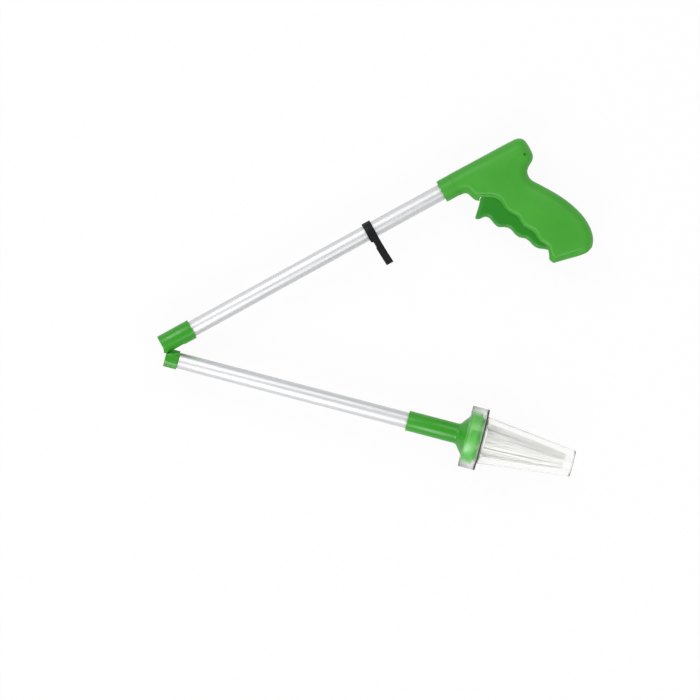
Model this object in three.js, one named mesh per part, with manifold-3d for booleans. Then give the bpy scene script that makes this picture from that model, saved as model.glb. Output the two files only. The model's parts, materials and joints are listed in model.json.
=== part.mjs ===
// Foldable spider catcher: a pistol handle with a squeeze trigger, two tubes joined by a fold hinge,
// and a brush head whose four bristle jaws open when the trigger pulls a cord.
// Millimetres, +Z up. The tool lies on its side, half folded, with its fold hinge upright.

import * as THREE from 'three';
import { mergeVertices } from 'three/addons/utils/BufferGeometryUtils.js';
import Module from 'manifold-3d';

const wasm = await Module();
wasm.setup();

// Clearances
const FIT = 0.3; // between pieces that are seated or pressed together
const RUNNING = 0.5; // between pieces that slide or turn past each other

// Arms
const REST_ANGLE = 43.48; // degrees between the two arms as the tool lies
const TUBE_RADIUS = 7;
const TUBE_WALL = 1;
const TUBE_SIDES = 28;

// Pull cord, from the trigger through both arms to the puller; it crosses the hinge on the pivot
const CORD_RADIUS = 0.6;
const CORD_SIDES = 8;
const CORD_BEND = 26; // pivot to where the cord reaches either tube axis
const CORD_SPLIT = 6; // from there to the ends of the sliding runs
const CORD_NEAR_PIVOT = [[9, 2.4], [3, 0.9]]; // along and off either arm, on the way to the pivot

// Fold hinge: the pivot lies off both tube axes, so the arms line up when straight
const HINGE_OFFSET = 5.5; // pivot to either tube axis
const HINGE_PIN_RADIUS = 1.1;
const KNUCKLE_RADIUS = 2.8;
const TONGUE_HALF = 3; // half the thickness of the tongue on the cap
const EAR_WALL = 3.3; // thickness of each ear of the socket
const CORD_SLOT_HALF = 1.3; // half the width of the slots that the cord passes
const SOCKET_RADIUS = 8.8;
const SOCKET_LENGTH = 29;
const SOCKET_SEAT = 18; // hinge end to where the upper tube seats
const SOCKET_SLOT_ROOF = 3; // top of the tongue's slot above the pivot
const SOCKET_SLOT_END = 17; // hinge end to the end of the tongue's slot
const SOCKET_CORD_WAY = 13; // length of the cord's way from the slot to the tube seat
const CAP_RADIUS = 8.2;
const CAP_LENGTH = 12.6;
const CAP_FLANK_DROP = 2.9; // the cap's flanks stay this far from the pivot
const CAP_FLANK_SLOPE = 21; // degrees between the arms when folded up, which the flanks follow
const CAP_CORD_WAY = 13; // length of the cord's slot beyond the cap
const SPIGOT_LENGTH = 19.4;

// Handle, measured from its nose along the tube axis
const HANDLE_X = 277; // hinge pivot to the handle's datum at the nose
const NOSE_RADIUS = 10;
const NOSE_START = 0.5;
const BODY_START = 12.3;
const TUBE_SEAT = 24; // how far the upper tube reaches into the handle
const SHELL_WALL = 2.4;
const CHEEK_WALL = 2.6;
const SHELL_HALF = 15; // half the handle's thickness at the grip
const NOSE_HALF = 10.8; // half its thickness where the body starts
const TAPER_END = 50; // where the full thickness begins
const EDGE_ROUND = 2.6; // rounding of the cheeks' edges
const OUTLINE_STEPS = 2; // facets between two outline points
const DIMPLE = { radius: 1.4, depth: 0.7 }; // over the rear screw's boss

// Handle screws, driven in from the far side
const SCREW_PLACES = [[53, 2.6], [78.4, -6.4], [86, -92]];
const SCREW_RADIUS = 1.2;
const SCREW_LENGTH = 20;
const SCREW_HEAD_RADIUS = 2.7;
const SCREW_HEAD_HEIGHT = 2.6;
const SCREW_SUNK = 1; // head below the cheek
const BOSS_WALL = 2;
const BOSS_SKIN = 1; // bosses end this far inside the cheeks

// Trigger
const TRIGGER_PIVOT = [63, -94];
const TRIGGER_HALF = 8.6;
const TRIGGER_ROUND = 1.6;
const TRIGGER_EYE = 4;
const TRIGGER_PIN_RADIUS = 1.5;
const TRIGGER_PIN_HALF = 11.4;
const PIVOT_BOSS_RADIUS = 4.2;
const CORD_ANCHOR = [48, -38]; // where the cord's end barrel sits in the trigger
const BARREL_RADIUS = 1.9;
const BARREL_HALF = 4;
const TRIGGER_SLOT = [ // the gap between the shells that the trigger swings in
  [-5, -99], [40, -99], [60.2, -93], [66, -84], [60, -17.6], [30, -17.6], [25.4, -21.6],
  [24.3, -24.6], [-5, -24.6],
];
const TRIGGER_CORD_WAY = [[46, -39], [50, -37], [47, -18], [30, -18]]; // the cord's fan in the trigger

// Cord guide bush in the rear end of the upper tube
const BUSH_PLUG = 8;
const BUSH_FLANGE = 1.7;

// Tie strap, a hook-and-loop band round the upper tube with a loose tail
const STRAP_X = 205.8;
const STRAP_WIDTH = 7.3;
const STRAP_THICKNESS = 1.3;
const STRAP_TAIL = 33; // tail end below the tube axis
const STRAP_DROOP = 4.5;
const STRAP_LEAVES = 128.3; // degrees round the band to where the tail leaves it

// Brush head, measured along the lower arm from the hinge pivot
const FERRULE_START = 218.8;
const FERRULE_RADIUS = 8.85;
const HUB_RIM_END = 281.4;
const HUB_RIM_RADIUS = 23.1;
const HUB_WALL = 1.9;
const HUB_SIDES = 32;
const CUP_DEPTH = 19.4; // rim to the floor that the spring sits on
const CUP_FLOOR = 4.4;
const SPRING_SEAT = HUB_RIM_END - CUP_DEPTH;
const TUBE_STOP = SPRING_SEAT - CUP_FLOOR; // end of the ferrule's tube bore
const THROAT_RADIUS = 6;
const RIM_SLOTS = 4;
const RIM_SLOT_WIDTH = 4.6;
const RIM_SLOT_LENGTH = 6;
const RIM_SLOT_DEPTH = 1.1;
const RIM_SLOT_TURN = -9.5; // degrees round the head

// Puller, the cup that the cord draws back to open the jaws: sizes round the axis
const PULLER_ROOM = 2; // between the puller and the hub's rim
const PULLER_RADIUS = HUB_RIM_RADIUS - HUB_WALL - PULLER_ROOM;
const PULLER_WALL = 1.3;
const PULLER_HOOK = 2.7; // the lip reaches this far in, over the jaws' tabs
const PULLER_LIP = 1.5;
const PULLER_LIP_INNER = PULLER_RADIUS - PULLER_WALL - PULLER_HOOK;
const PULLER_SLEEVE_RADIUS = 3.6;
const PULLER_BORE = 2.2;

// Jaws, the quarters that carry the bristles
const JAW_COUNT = 4;
const JAW_PIVOT_BACK = 0.4; // jaw pins behind the hub's rim
const JAW_PIVOT_X = HUB_RIM_END - JAW_PIVOT_BACK;
const JAW_PIVOT_R = 7;
const JAW_PIN_RADIUS = 0.75;
const JAW_PIN_HALF = 6;
const JAW_EYE = 2;
const JAW_EYE_HALF = 4.5;
const POST_CENTRE = JAW_PIVOT_R; // each hinge post stands this far along and across from the axis
const POST_CORNERS = [[1, 1], [1, -1], [-1, 1], [-1, -1]];
const POST_HALF = 2.1;
const POST_ROOT = 4; // posts start this far from the spring's seat
const POST_START = SPRING_SEAT + POST_ROOT;
const POST_TOP = 1.4; // posts stand this far past the jaw pins
const POST_END = JAW_PIVOT_X + POST_TOP;
const JAW_ROOM = 1; // between the jaws and the puller's lip, and the jaws and the posts
const JAW_INNER = 6.2;
const JAW_OUTER = PULLER_LIP_INNER - JAW_ROOM;
const JAW_BACK = POST_END + JAW_ROOM;
const JAW_PLATE = 3.3;
const JAW_FRONT = JAW_BACK + JAW_PLATE;
const JAW_SPREAD = 41; // degrees each side of a jaw's middle
const NECK_STEP = 0.3; // the neck's outer face lies this far inside the jaw's
const NECK_OUTER = JAW_OUTER - NECK_STEP;
const TAB_LENGTH = 2;
const TAB_BACK = JAW_BACK - TAB_LENGTH; // the tab that the puller's lip hooks
const TAB_THICK = 1.6;
const TAB_FRONT = TAB_BACK + TAB_THICK;
const TAB_ROOM = 0.9; // between a tab's tip and the puller's wall
const TAB_OUTER = PULLER_RADIUS - PULLER_WALL - TAB_ROOM;
const TAB_HALF = 3.5;

// Puller: sizes along the axis
const PULLER_DEPTH = 4.2; // tabs to the plate behind them
const PULLER_PLATE = TAB_BACK - PULLER_DEPTH;
const PULLER_SLEEVE = 9.2;
const PULLER_SLEEVE_START = PULLER_PLATE - PULLER_SLEEVE;
const PULLER_PLATE_THICK = 1.4;
const PULLER_STEP_RADIUS = 11.6;
const PULLER_STEP = 1.75; // the outer web stands this far ahead of the plate
const SLUG_LENGTH = 4;

// Return spring
const SPRING_RADIUS = 4.9;
const SPRING_WIRE = 0.5;
const SPRING_TURNS = 5.5;
const SPRING_STEPS = 8; // to a turn
const SPRING_SIDES = 5;

// Bristles, spread wider than the jaws at the root and gathered at the tips
const BRISTLE_BACKING = 1;
const BRISTLE_BACKING_PROUD = 2.2; // the backing's edge outside the jaw's
const BRISTLE_BACKING_OUTER = JAW_OUTER + BRISTLE_BACKING_PROUD;
const BRISTLE_BACKING_WIDTH = 8.4;
const BRISTLE_BACKING_INNER = BRISTLE_BACKING_OUTER - BRISTLE_BACKING_WIDTH;
const BRISTLE_RINGS = [[7.2, 13], [5.6, 15], [4, 17], [2.4, 18], [0.8, 20]]; // in from that edge, strands
const BRISTLE_SPREAD = 38;
const BRISTLE_LENGTH = 73.3;
const BRISTLE_TIP_X = JAW_FRONT + BRISTLE_LENGTH;
const BRISTLE_TIP_VARIES = 2.4;
const BRISTLE_GATHER = 0.44; // radius at the tip over radius at the root
const BRISTLE_ROOT_RADIUS = 0.3;
const BRISTLE_TIP_RADIUS = 0.17;
const BRISTLE_SIDES = 3;

// Clear cover over the bristles
const COVER_OVERLAP = 10.4; // how far the collar reaches back over the hub
const COVER_BACK = HUB_RIM_END - COVER_OVERLAP;
const COVER_ROOM = 4; // the collar's outside round the hub's rim
const COVER_COLLAR_RADIUS = HUB_RIM_RADIUS + COVER_ROOM;
const COVER_SHOULDER = 4.4; // the collar's front ahead of the hub's rim
const COVER_COLLAR_END = HUB_RIM_END + COVER_SHOULDER;
const COVER_WALL = 1.3;
const COVER_ROUND = 1.2;
const COVER_ROOT_PROUD = 1.5; // the cone's root outside the puller's
const COVER_ROOT_RADIUS = PULLER_RADIUS + COVER_ROOT_PROUD;
const COVER_STEP = 1.7; // the shoulder's slope to the cone
const COVER_ROOT_X = COVER_COLLAR_END + COVER_STEP;
const COVER_TIP_RADIUS = 11.5;
const COVER_CONE = 80; // the cone's length
const COVER_TIP_X = COVER_ROOT_X + COVER_CONE;
const COVER_SIDES = 32;

// Materials
const green = new THREE.MeshStandardMaterial({ color: 0x3fa632, roughness: 0.42, metalness: 0 });
const triggerGreen = new THREE.MeshStandardMaterial({ color: 0x37962b, roughness: 0.45, metalness: 0 });
const aluminium = new THREE.MeshStandardMaterial({ color: 0xd9dadb, roughness: 0.3, metalness: 1 });
const steel = new THREE.MeshStandardMaterial({ color: 0xb9bcc0, roughness: 0.35, metalness: 1 });
const strapBlack = new THREE.MeshStandardMaterial({ color: 0x1b1b1c, roughness: 0.9, metalness: 0 });
const nylonWhite = new THREE.MeshStandardMaterial({ color: 0xe4e4e0, roughness: 0.6, metalness: 0 });
const greyPlastic = new THREE.MeshStandardMaterial({ color: 0x8d918e, roughness: 0.5, metalness: 0 });
const clearPlastic = new THREE.MeshStandardMaterial({
  color: 0xf2f5f3, roughness: 0.08, metalness: 0, transparent: true, opacity: 0.3,
});

const radians = THREE.MathUtils.degToRad;

// Closed geometry: shared vertices merged, empty triangles dropped, faces turned outwards
function closed(geometry) {
  const bare = new THREE.BufferGeometry();
  bare.setAttribute('position', geometry.getAttribute('position').clone());
  if (geometry.index) bare.setIndex(geometry.index.clone());
  const merged = mergeVertices(bare, 1e-4);
  const place = merged.getAttribute('position');
  const kept = [];
  let volume = 0;
  const corner = [new THREE.Vector3(), new THREE.Vector3(), new THREE.Vector3()];
  for (let i = 0; i < merged.index.count; i += 3) {
    const [a, b, c] = [0, 1, 2].map((k) => merged.index.getX(i + k));
    if (a === b || b === c || c === a) continue;
    [a, b, c].forEach((v, k) => corner[k].fromBufferAttribute(place, v));
    volume += corner[0].dot(corner[1].clone().cross(corner[2]));
    kept.push(a, b, c);
  }
  if (volume < 0) {
    for (let i = 0; i < kept.length; i += 3) [kept[i], kept[i + 1]] = [kept[i + 1], kept[i]];
  }
  merged.setIndex(kept);
  return merged;
}

function toSolid(geometry) {
  const shape = closed(geometry);
  return new wasm.Manifold(new wasm.Mesh({
    numProp: 3,
    vertProperties: new Float32Array(shape.getAttribute('position').array),
    triVerts: new Uint32Array(shape.index.array),
  }));
}

function toGeometry(solid) {
  const mesh = solid.getMesh();
  const geometry = new THREE.BufferGeometry();
  geometry.setAttribute('position', new THREE.BufferAttribute(new Float32Array(mesh.vertProperties), 3));
  geometry.setIndex(new THREE.BufferAttribute(new Uint32Array(mesh.triVerts), 1));
  return geometry;
}

const join = (first, ...rest) => toGeometry(rest.reduce((s, g) => s.add(toSolid(g)), toSolid(first)));
const cut = (first, ...rest) => toGeometry(rest.reduce((s, g) => s.subtract(toSolid(g)), toSolid(first)));
const common = (first, second) => toGeometry(toSolid(first).intersect(toSolid(second)));

function box(x0, x1, y0, y1, z0, z1) {
  return new THREE.BoxGeometry(x1 - x0, y1 - y0, z1 - z0)
    .translate((x0 + x1) / 2, (y0 + y1) / 2, (z0 + z1) / 2);
}

function rodX(radius, x0, x1, sides = TUBE_SIDES) {
  return new THREE.CylinderGeometry(radius, radius, x1 - x0, sides)
    .rotateZ(-Math.PI / 2)
    .translate((x0 + x1) / 2, 0, 0);
}

function rodZ(radius, x, y, z0, z1, sides = 20) {
  return new THREE.CylinderGeometry(radius, radius, z1 - z0, sides)
    .rotateX(Math.PI / 2)
    .translate(x, y, (z0 + z1) / 2);
}

// Solid of revolution about X from [x, radius] pairs
function turned(profile, sides = HUB_SIDES) {
  const points = profile.map(([x, r]) => new THREE.Vector2(r, x));
  return new THREE.LatheGeometry(points, sides).rotateZ(-Math.PI / 2);
}

// Flat outline in X and Y, drawn out from z0 to z1, with rounded edges if asked
function plate(points, z0, z1, round = 0) {
  const shape = new THREE.Shape(points.map(([x, y]) => new THREE.Vector2(x, y)));
  return new THREE.ExtrudeGeometry(shape, {
    depth: z1 - z0 - 2 * round,
    steps: 1,
    bevelEnabled: round > 0,
    bevelThickness: round,
    bevelSize: round,
    bevelOffset: -round,
    bevelSegments: 3,
  }).translate(0, 0, z0 + round);
}

// Outline in X and Z, drawn out along Y
function plateY(points, y0, y1) {
  return plate(points.map(([x, z]) => [x, -z]), y0, y1).rotateX(-Math.PI / 2);
}

// Part of a flat ring round X, centred on +Y
function sector(inner, outer, spread, x0, x1, steps = 8) {
  const arc = (radius, from, to) => Array.from({ length: steps + 1 }, (_, k) => {
    const angle = radians(from + ((to - from) * k) / steps);
    return [radius * Math.sin(angle), radius * Math.cos(angle)];
  });
  const ring = [...arc(outer, -spread, spread), ...arc(inner, spread, -spread)];
  return plate(ring, x0, x1).rotateY(Math.PI / 2);
}

// Smooth run through hand-chosen points
function smooth(points, steps = OUTLINE_STEPS) {
  const places = points.map(([x, y]) => new THREE.Vector3(x, y, 0));
  const curve = new THREE.CatmullRomCurve3(places, false, 'centripetal');
  return curve.getPoints((points.length - 1) * steps).map((p) => [p.x, p.y]);
}

// Outline moved inwards by a wall; the outline runs anticlockwise
function inset(points, wall) {
  const count = points.length;
  const normal = (from, to) => {
    const [dx, dy] = [to[0] - from[0], to[1] - from[1]];
    const length = Math.hypot(dx, dy);
    return [-dy / length, dx / length];
  };
  return points.map((point, k) => {
    const before = normal(points[(k + count - 1) % count], point);
    const after = normal(point, points[(k + 1) % count]);
    const share = wall / (1 + before[0] * after[0] + before[1] * after[1]);
    return [point[0] + share * (before[0] + after[0]), point[1] + share * (before[1] + after[1])];
  });
}

// Round cord along a run of points
function cordAlong(points, steps) {
  const path = new THREE.CatmullRomCurve3(points.map((p) => new THREE.Vector3(...p)), false, 'centripetal');
  const section = new THREE.Shape();
  section.absarc(0, 0, CORD_RADIUS, 0, 2 * Math.PI);
  return new THREE.ExtrudeGeometry(section, {
    steps, extrudePath: path, curveSegments: CORD_SIDES / 2, bevelEnabled: false,
  });
}

function node(name, geometry, material) {
  const mesh = new THREE.Mesh(closed(geometry), material);
  mesh.name = name;
  return mesh;
}

// Shell outline, anticlockwise from the nose: underside, wavy front, bottom, back, thumb web, top
const shellOutline = [
  ...smooth([
    [BODY_START, -10.3], [16.4, -10.7], [19, -12.6], [20.4, -16.5], [22.2, -20.6], [26.5, -23.4],
    [33.5, -25], [38.2, -28.6], [40.2, -33.5], [40.6, -39.5], [42.6, -44.5], [46.4, -50.4],
    [47.2, -60.2], [52.4, -69.2], [53.2, -78.4], [57, -86.4], [55.6, -92.7], [53.8, -97],
    [55.6, -101.3], [63, -102.9], [71.7, -104.9], [84.8, -107.2], [91.3, -105.2], [95.4, -99.8],
    [98, -89.9], [97.1, -76.2], [91.1, -58.5], [82.9, -43.7], [75.9, -33], [73.2, -28.5],
    [72.6, -24.6], [73.6, -20.4], [76.8, -17.1], [81.3, -14.6], [84.3, -11], [85.2, -6],
    [85, 2], [83.6, 6.2], [79.6, 8.9], [75, 9.4],
  ]),
  [BODY_START, 10.1],
];

// Further than any point of the handle, for the pieces that trim it
const handleReach = Math.max(...shellOutline.flat().map(Math.abs)) + SHELL_HALF;

// Points round the trigger's pivot eye, between two angles in degrees
function eyeArc(from, to, steps = 6) {
  return Array.from({ length: steps + 1 }, (_, k) => {
    const angle = radians(from + ((to - from) * k) / steps);
    const [a, h] = TRIGGER_PIVOT;
    return [a + TRIGGER_EYE * Math.cos(angle), h + TRIGGER_EYE * Math.sin(angle)];
  });
}

// Trigger outline, anticlockwise from the hook: finger waves, pivot eye, inner edge, top
const triggerOutline = [
  ...smooth([
    [26.6, -25.2], [21.4, -27.6], [16.4, -32], [14.4, -34.6], [17.2, -36.6], [22.4, -37.2],
    [25.4, -40.4], [26.4, -45.8], [28.4, -50.6], [33.6, -53.6], [36.8, -57.4], [38, -62.8],
    [40.3, -67.4], [44, -70.6], [46, -74.4], [47.4, -79.8], [50.2, -83.8], [55, -87.4],
  ]),
  ...smooth(eyeArc(150, 370)),
  ...smooth([[63, -80], [57.5, -64], [54, -50], [52.4, -38], [50, -27.5], [44, -22.8], [35, -23.6]]),
];

// Half the handle's thickness along its length, less a wall
function thickness(wall) {
  const upper = [
    [0, NOSE_HALF - wall], [BODY_START, NOSE_HALF - wall],
    [TAPER_END, SHELL_HALF - wall], [handleReach, SHELL_HALF - wall],
  ];
  const lower = upper.map(([a, z]) => [a, -z]).reverse();
  return plateY([...upper, ...lower], -handleReach, handleReach);
}

function buildHandle() {
  const pivot = TRIGGER_PIVOT;
  const slotHalf = TRIGGER_HALF + RUNNING;
  const cavity = cut(
    common(
      plate(inset(shellOutline, SHELL_WALL), -SHELL_HALF + CHEEK_WALL, SHELL_HALF - CHEEK_WALL),
      thickness(CHEEK_WALL),
    ),
    box(0, TUBE_SEAT + BUSH_FLANGE + RUNNING, -14, 12, -SHELL_HALF, SHELL_HALF),
  );
  const slot = plate(TRIGGER_SLOT, -slotHalf, slotHalf);
  const screwHole = SCREW_RADIUS + FIT;
  const headTop = -SHELL_HALF + SCREW_SUNK;
  const headSeat = headTop + SCREW_HEAD_HEIGHT + FIT;
  const bossHalf = SHELL_HALF - BOSS_SKIN;
  const bosses = SCREW_PLACES.map(([a, h]) => rodZ(screwHole + BOSS_WALL, a, h, -bossHalf, bossHalf, 16));
  const screwHoles = SCREW_PLACES.flatMap(([a, h]) => [
    rodZ(screwHole, a, h, -SHELL_HALF - 1, headSeat + SCREW_LENGTH + FIT, 12),
    rodZ(SCREW_HEAD_RADIUS + FIT, a, h, -SHELL_HALF - 1, headSeat, 16),
  ]);
  const pivotBosses = [1, -1].map((side) => {
    const ends = [side * slotHalf, side * bossHalf].sort((a, b) => a - b);
    return rodZ(PIVOT_BOSS_RADIUS, ...pivot, ...ends);
  });
  const dimple = rodZ(DIMPLE.radius, ...SCREW_PLACES[1], SHELL_HALF - DIMPLE.depth, SHELL_HALF + 1, 16);
  const outside = join(
    common(plate(shellOutline, -SHELL_HALF, SHELL_HALF, EDGE_ROUND), thickness(0)),
    rodX(NOSE_RADIUS, NOSE_START, BODY_START + 2),
  );
  const body = cut(
    join(cut(outside, cavity), ...bosses, ...pivotBosses),
    slot,
    rodX(TUBE_RADIUS + FIT, 0, TUBE_SEAT + BUSH_FLANGE + RUNNING + 1),
    rodZ(TRIGGER_PIN_RADIUS + FIT, ...pivot, -TRIGGER_PIN_HALF - FIT, TRIGGER_PIN_HALF + FIT),
    dimple,
    ...screwHoles,
  );
  const span = handleReach;
  const near = common(body, box(-span, span, -span, span, FIT / 2, span));
  const far = common(body, box(-span, span, -span, span, -span, -FIT / 2));
  const group = new THREE.Group();
  group.add(node('handle_shell_near', near, green), node('handle_shell_far', far, green));
  SCREW_PLACES.forEach(([a, h], k) => {
    const screw = join(
      rodZ(SCREW_HEAD_RADIUS, a, h, headTop, headTop + SCREW_HEAD_HEIGHT, 16),
      rodZ(SCREW_RADIUS, a, h, headTop + 1, headTop + SCREW_HEAD_HEIGHT + SCREW_LENGTH, 12),
    );
    group.add(node(`handle_screw_${k + 1}`, screw, steel));
  });
  const pin = rodZ(TRIGGER_PIN_RADIUS, ...pivot, -TRIGGER_PIN_HALF, TRIGGER_PIN_HALF);
  group.add(node('trigger_pin', pin, steel));
  return group;
}

function buildTrigger() {
  const anchor = CORD_ANCHOR;
  const trigger = cut(
    plate(triggerOutline, -TRIGGER_HALF, TRIGGER_HALF, TRIGGER_ROUND),
    rodZ(TRIGGER_PIN_RADIUS + FIT, ...TRIGGER_PIVOT, -TRIGGER_HALF - 1, TRIGGER_HALF + 1),
    rodZ(BARREL_RADIUS + FIT, ...anchor, -BARREL_HALF - FIT, TRIGGER_HALF + 1, 16),
    plate(TRIGGER_CORD_WAY, -CORD_SLOT_HALF, CORD_SLOT_HALF),
  );
  const barrel = rodZ(BARREL_RADIUS, ...anchor, -BARREL_HALF, BARREL_HALF, 16);
  const group = new THREE.Group();
  group.add(node('trigger', trigger, triggerGreen), node('cord_end_barrel', barrel, steel));
  return group;
}

function tube(start, end) {
  const bore = TUBE_RADIUS - TUBE_WALL;
  const section = [[start, bore], [start, TUBE_RADIUS], [end, TUBE_RADIUS], [end, bore], [start, bore]];
  return turned(section, TUBE_SIDES);
}

function buildStrap() {
  const inner = TUBE_RADIUS + FIT;
  const outer = inner + STRAP_THICKNESS;
  const shape = new THREE.Shape();
  shape.moveTo(0, outer);
  shape.bezierCurveTo(-outer, outer, -STRAP_TAIL / 2, outer - 1, -STRAP_TAIL, outer - STRAP_DROOP);
  shape.lineTo(-STRAP_TAIL - 0.2, inner - STRAP_DROOP);
  const leaves = radians(STRAP_LEAVES);
  shape.bezierCurveTo(
    -STRAP_TAIL / 2, inner - 1, -outer, inner - 0.2, outer * Math.cos(leaves), outer * Math.sin(leaves),
  );
  shape.absarc(0, 0, outer, leaves, 2.5 * Math.PI, false);
  const hole = new THREE.Path();
  hole.absarc(0, 0, inner, 0, 2 * Math.PI, true);
  shape.holes.push(hole);
  return new THREE.ExtrudeGeometry(shape, { depth: STRAP_WIDTH, curveSegments: 12, bevelEnabled: false })
    .rotateX(Math.PI / 2)
    .rotateZ(Math.PI / 2);
}

function buildUpperArm() {
  const group = new THREE.Group();
  const earHalf = TONGUE_HALF + RUNNING + EAR_WALL;
  const slotHalf = TONGUE_HALF + RUNNING;
  const axisUp = HINGE_OFFSET;
  const cordHalf = CORD_SLOT_HALF;
  const socket = cut(
    join(
      rodX(SOCKET_RADIUS, FIT, SOCKET_LENGTH).translate(0, axisUp, 0),
      rodZ(KNUCKLE_RADIUS, 0, 0, -earHalf, earHalf),
    ),
    rodZ(KNUCKLE_RADIUS + RUNNING, 0, 0, -slotHalf, slotHalf),
    box(-KNUCKLE_RADIUS - 2, SOCKET_SLOT_END, -SOCKET_RADIUS, SOCKET_SLOT_ROOF, -slotHalf, slotHalf),
    rodX(TUBE_RADIUS + FIT, SOCKET_SEAT, SOCKET_LENGTH + 1).translate(0, axisUp, 0),
    box(SOCKET_SEAT - SOCKET_CORD_WAY, SOCKET_SEAT + 1, 0, axisUp + cordHalf, -cordHalf, cordHalf),
    rodZ(HINGE_PIN_RADIUS + FIT, 0, 0, -earHalf - 1, earHalf + 1, 16),
  );
  group.add(node('hinge_socket', socket, green));
  [['near', 1], ['far', -1]].forEach(([side, sign]) => {
    const ends = [sign * (CORD_SLOT_HALF + FIT), sign * earHalf].sort((a, b) => a - b);
    group.add(node(`hinge_pin_${side}`, rodZ(HINGE_PIN_RADIUS, 0, 0, ...ends, 16), steel));
  });
  const axis = new THREE.Group();
  axis.position.y = axisUp;
  const tubeEnd = HANDLE_X + TUBE_SEAT;
  axis.add(node('upper_tube', tube(SOCKET_SEAT + FIT, tubeEnd), aluminium));
  const bore = TUBE_RADIUS - TUBE_WALL;
  const hole = CORD_RADIUS + FIT;
  const bush = turned([
    [tubeEnd - BUSH_PLUG, hole], [tubeEnd - BUSH_PLUG, bore - FIT], [tubeEnd + FIT, bore - FIT],
    [tubeEnd + FIT, TUBE_RADIUS - FIT], [tubeEnd + BUSH_FLANGE, TUBE_RADIUS - FIT],
    [tubeEnd + BUSH_FLANGE, hole], [tubeEnd - BUSH_PLUG, hole],
  ], TUBE_SIDES);
  axis.add(node('cord_guide_bush', bush, greyPlastic));
  const strap = node('tie_strap', buildStrap(), strapBlack);
  strap.position.x = STRAP_X - STRAP_WIDTH / 2;
  axis.add(strap);
  group.add(axis);
  return group;
}

function buildHingeCap() {
  const pivotY = HINGE_OFFSET;
  const far = CAP_RADIUS + 2;
  const flanks = [1, -1].flatMap((sign) => {
    const ends = [sign * TONGUE_HALF, sign * far].sort((a, b) => a - b);
    return [
      box(-far, 2 * CAP_LENGTH, -CAP_FLANK_DROP, far, ...ends)
        .rotateZ(radians(CAP_FLANK_SLOPE)).translate(0, pivotY, 0),
      rodZ(KNUCKLE_RADIUS + RUNNING, 0, pivotY, ...ends),
    ];
  });
  const spigot = TUBE_RADIUS - TUBE_WALL - FIT;
  return cut(
    join(
      rodX(CAP_RADIUS, FIT, CAP_LENGTH),
      rodX(spigot, CAP_LENGTH - 1, CAP_LENGTH + SPIGOT_LENGTH),
      rodZ(KNUCKLE_RADIUS, 0, pivotY, -TONGUE_HALF, TONGUE_HALF),
    ),
    ...flanks,
    box(-far, CAP_LENGTH + CAP_CORD_WAY, -CORD_SLOT_HALF, far, -CORD_SLOT_HALF, CORD_SLOT_HALF),
    rodX(CORD_SLOT_HALF, CAP_LENGTH, CAP_LENGTH + SPIGOT_LENGTH + 1, 12),
    rodZ(HINGE_PIN_RADIUS + FIT, 0, pivotY, -far, far, 16),
  );
}

// Outside of the hub, as [x, radius]: ferrule, flare and rim
const hubFlare = [
  [HUB_RIM_END - 18, FERRULE_RADIUS], [HUB_RIM_END - 16.8, FERRULE_RADIUS + 0.7],
  [HUB_RIM_END - 10.3, HUB_RIM_RADIUS - 5.3], [HUB_RIM_END - 9, HUB_RIM_RADIUS - 1.6],
  [HUB_RIM_END - 8, HUB_RIM_RADIUS - 0.3], [HUB_RIM_END - 7, HUB_RIM_RADIUS],
  [HUB_RIM_END, HUB_RIM_RADIUS],
];

// Inside of the hub's cup, one wall within the flare
const hubCup = [
  [SPRING_SEAT, 0], [SPRING_SEAT, THROAT_RADIUS], [HUB_RIM_END - 13.8, THROAT_RADIUS],
  [HUB_RIM_END - 11, 10], [HUB_RIM_END - 8.2, HUB_RIM_RADIUS - 5.3 - HUB_WALL],
  [HUB_RIM_END - 7.1, HUB_RIM_RADIUS - 1.7 - HUB_WALL], [HUB_RIM_END - 6, HUB_RIM_RADIUS - HUB_WALL],
  [HUB_RIM_END + 1, HUB_RIM_RADIUS - HUB_WALL], [HUB_RIM_END + 1, 0],
];

function buildHub() {
  const outside = turned([
    [FERRULE_START, 0], [FERRULE_START, FERRULE_RADIUS], ...hubFlare, [HUB_RIM_END, 0],
  ]);
  const cup = turned(hubCup);
  const inside = turned([
    [SPRING_SEAT, 0], [SPRING_SEAT, FERRULE_RADIUS], ...hubFlare, [POST_END, HUB_RIM_RADIUS], [POST_END, 0],
  ]);
  const posts = POST_CORNERS.map(([y, z]) => common(
    box(
      POST_START, POST_END,
      y * POST_CENTRE - POST_HALF, y * POST_CENTRE + POST_HALF,
      z * POST_CENTRE - POST_HALF, z * POST_CENTRE + POST_HALF,
    ),
    inside,
  ));
  const pinHoles = [];
  for (let k = 0; k < JAW_COUNT; k += 1) {
    pinHoles.push(
      rodZ(JAW_PIN_RADIUS + FIT, JAW_PIVOT_X, JAW_PIVOT_R, -JAW_PIN_HALF - FIT, JAW_PIN_HALF + FIT, 12)
        .rotateX((k * 2 * Math.PI) / JAW_COUNT),
    );
  }
  const slots = Array.from({ length: RIM_SLOTS }, (_, k) => box(
    HUB_RIM_END - RIM_SLOT_LENGTH, HUB_RIM_END + 1,
    HUB_RIM_RADIUS - RIM_SLOT_DEPTH, HUB_RIM_RADIUS + 1,
    -RIM_SLOT_WIDTH / 2, RIM_SLOT_WIDTH / 2,
  ).rotateX((k * 2 * Math.PI) / RIM_SLOTS + radians(RIM_SLOT_TURN)));
  return cut(
    join(cut(outside, cup), ...posts),
    ...slots,
    rodX(TUBE_RADIUS + FIT, FERRULE_START - 1, TUBE_STOP),
    rodX(CORD_RADIUS + RUNNING, TUBE_STOP - 1, SPRING_SEAT + 1, 12),
    ...pinHoles,
  );
}

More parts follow.
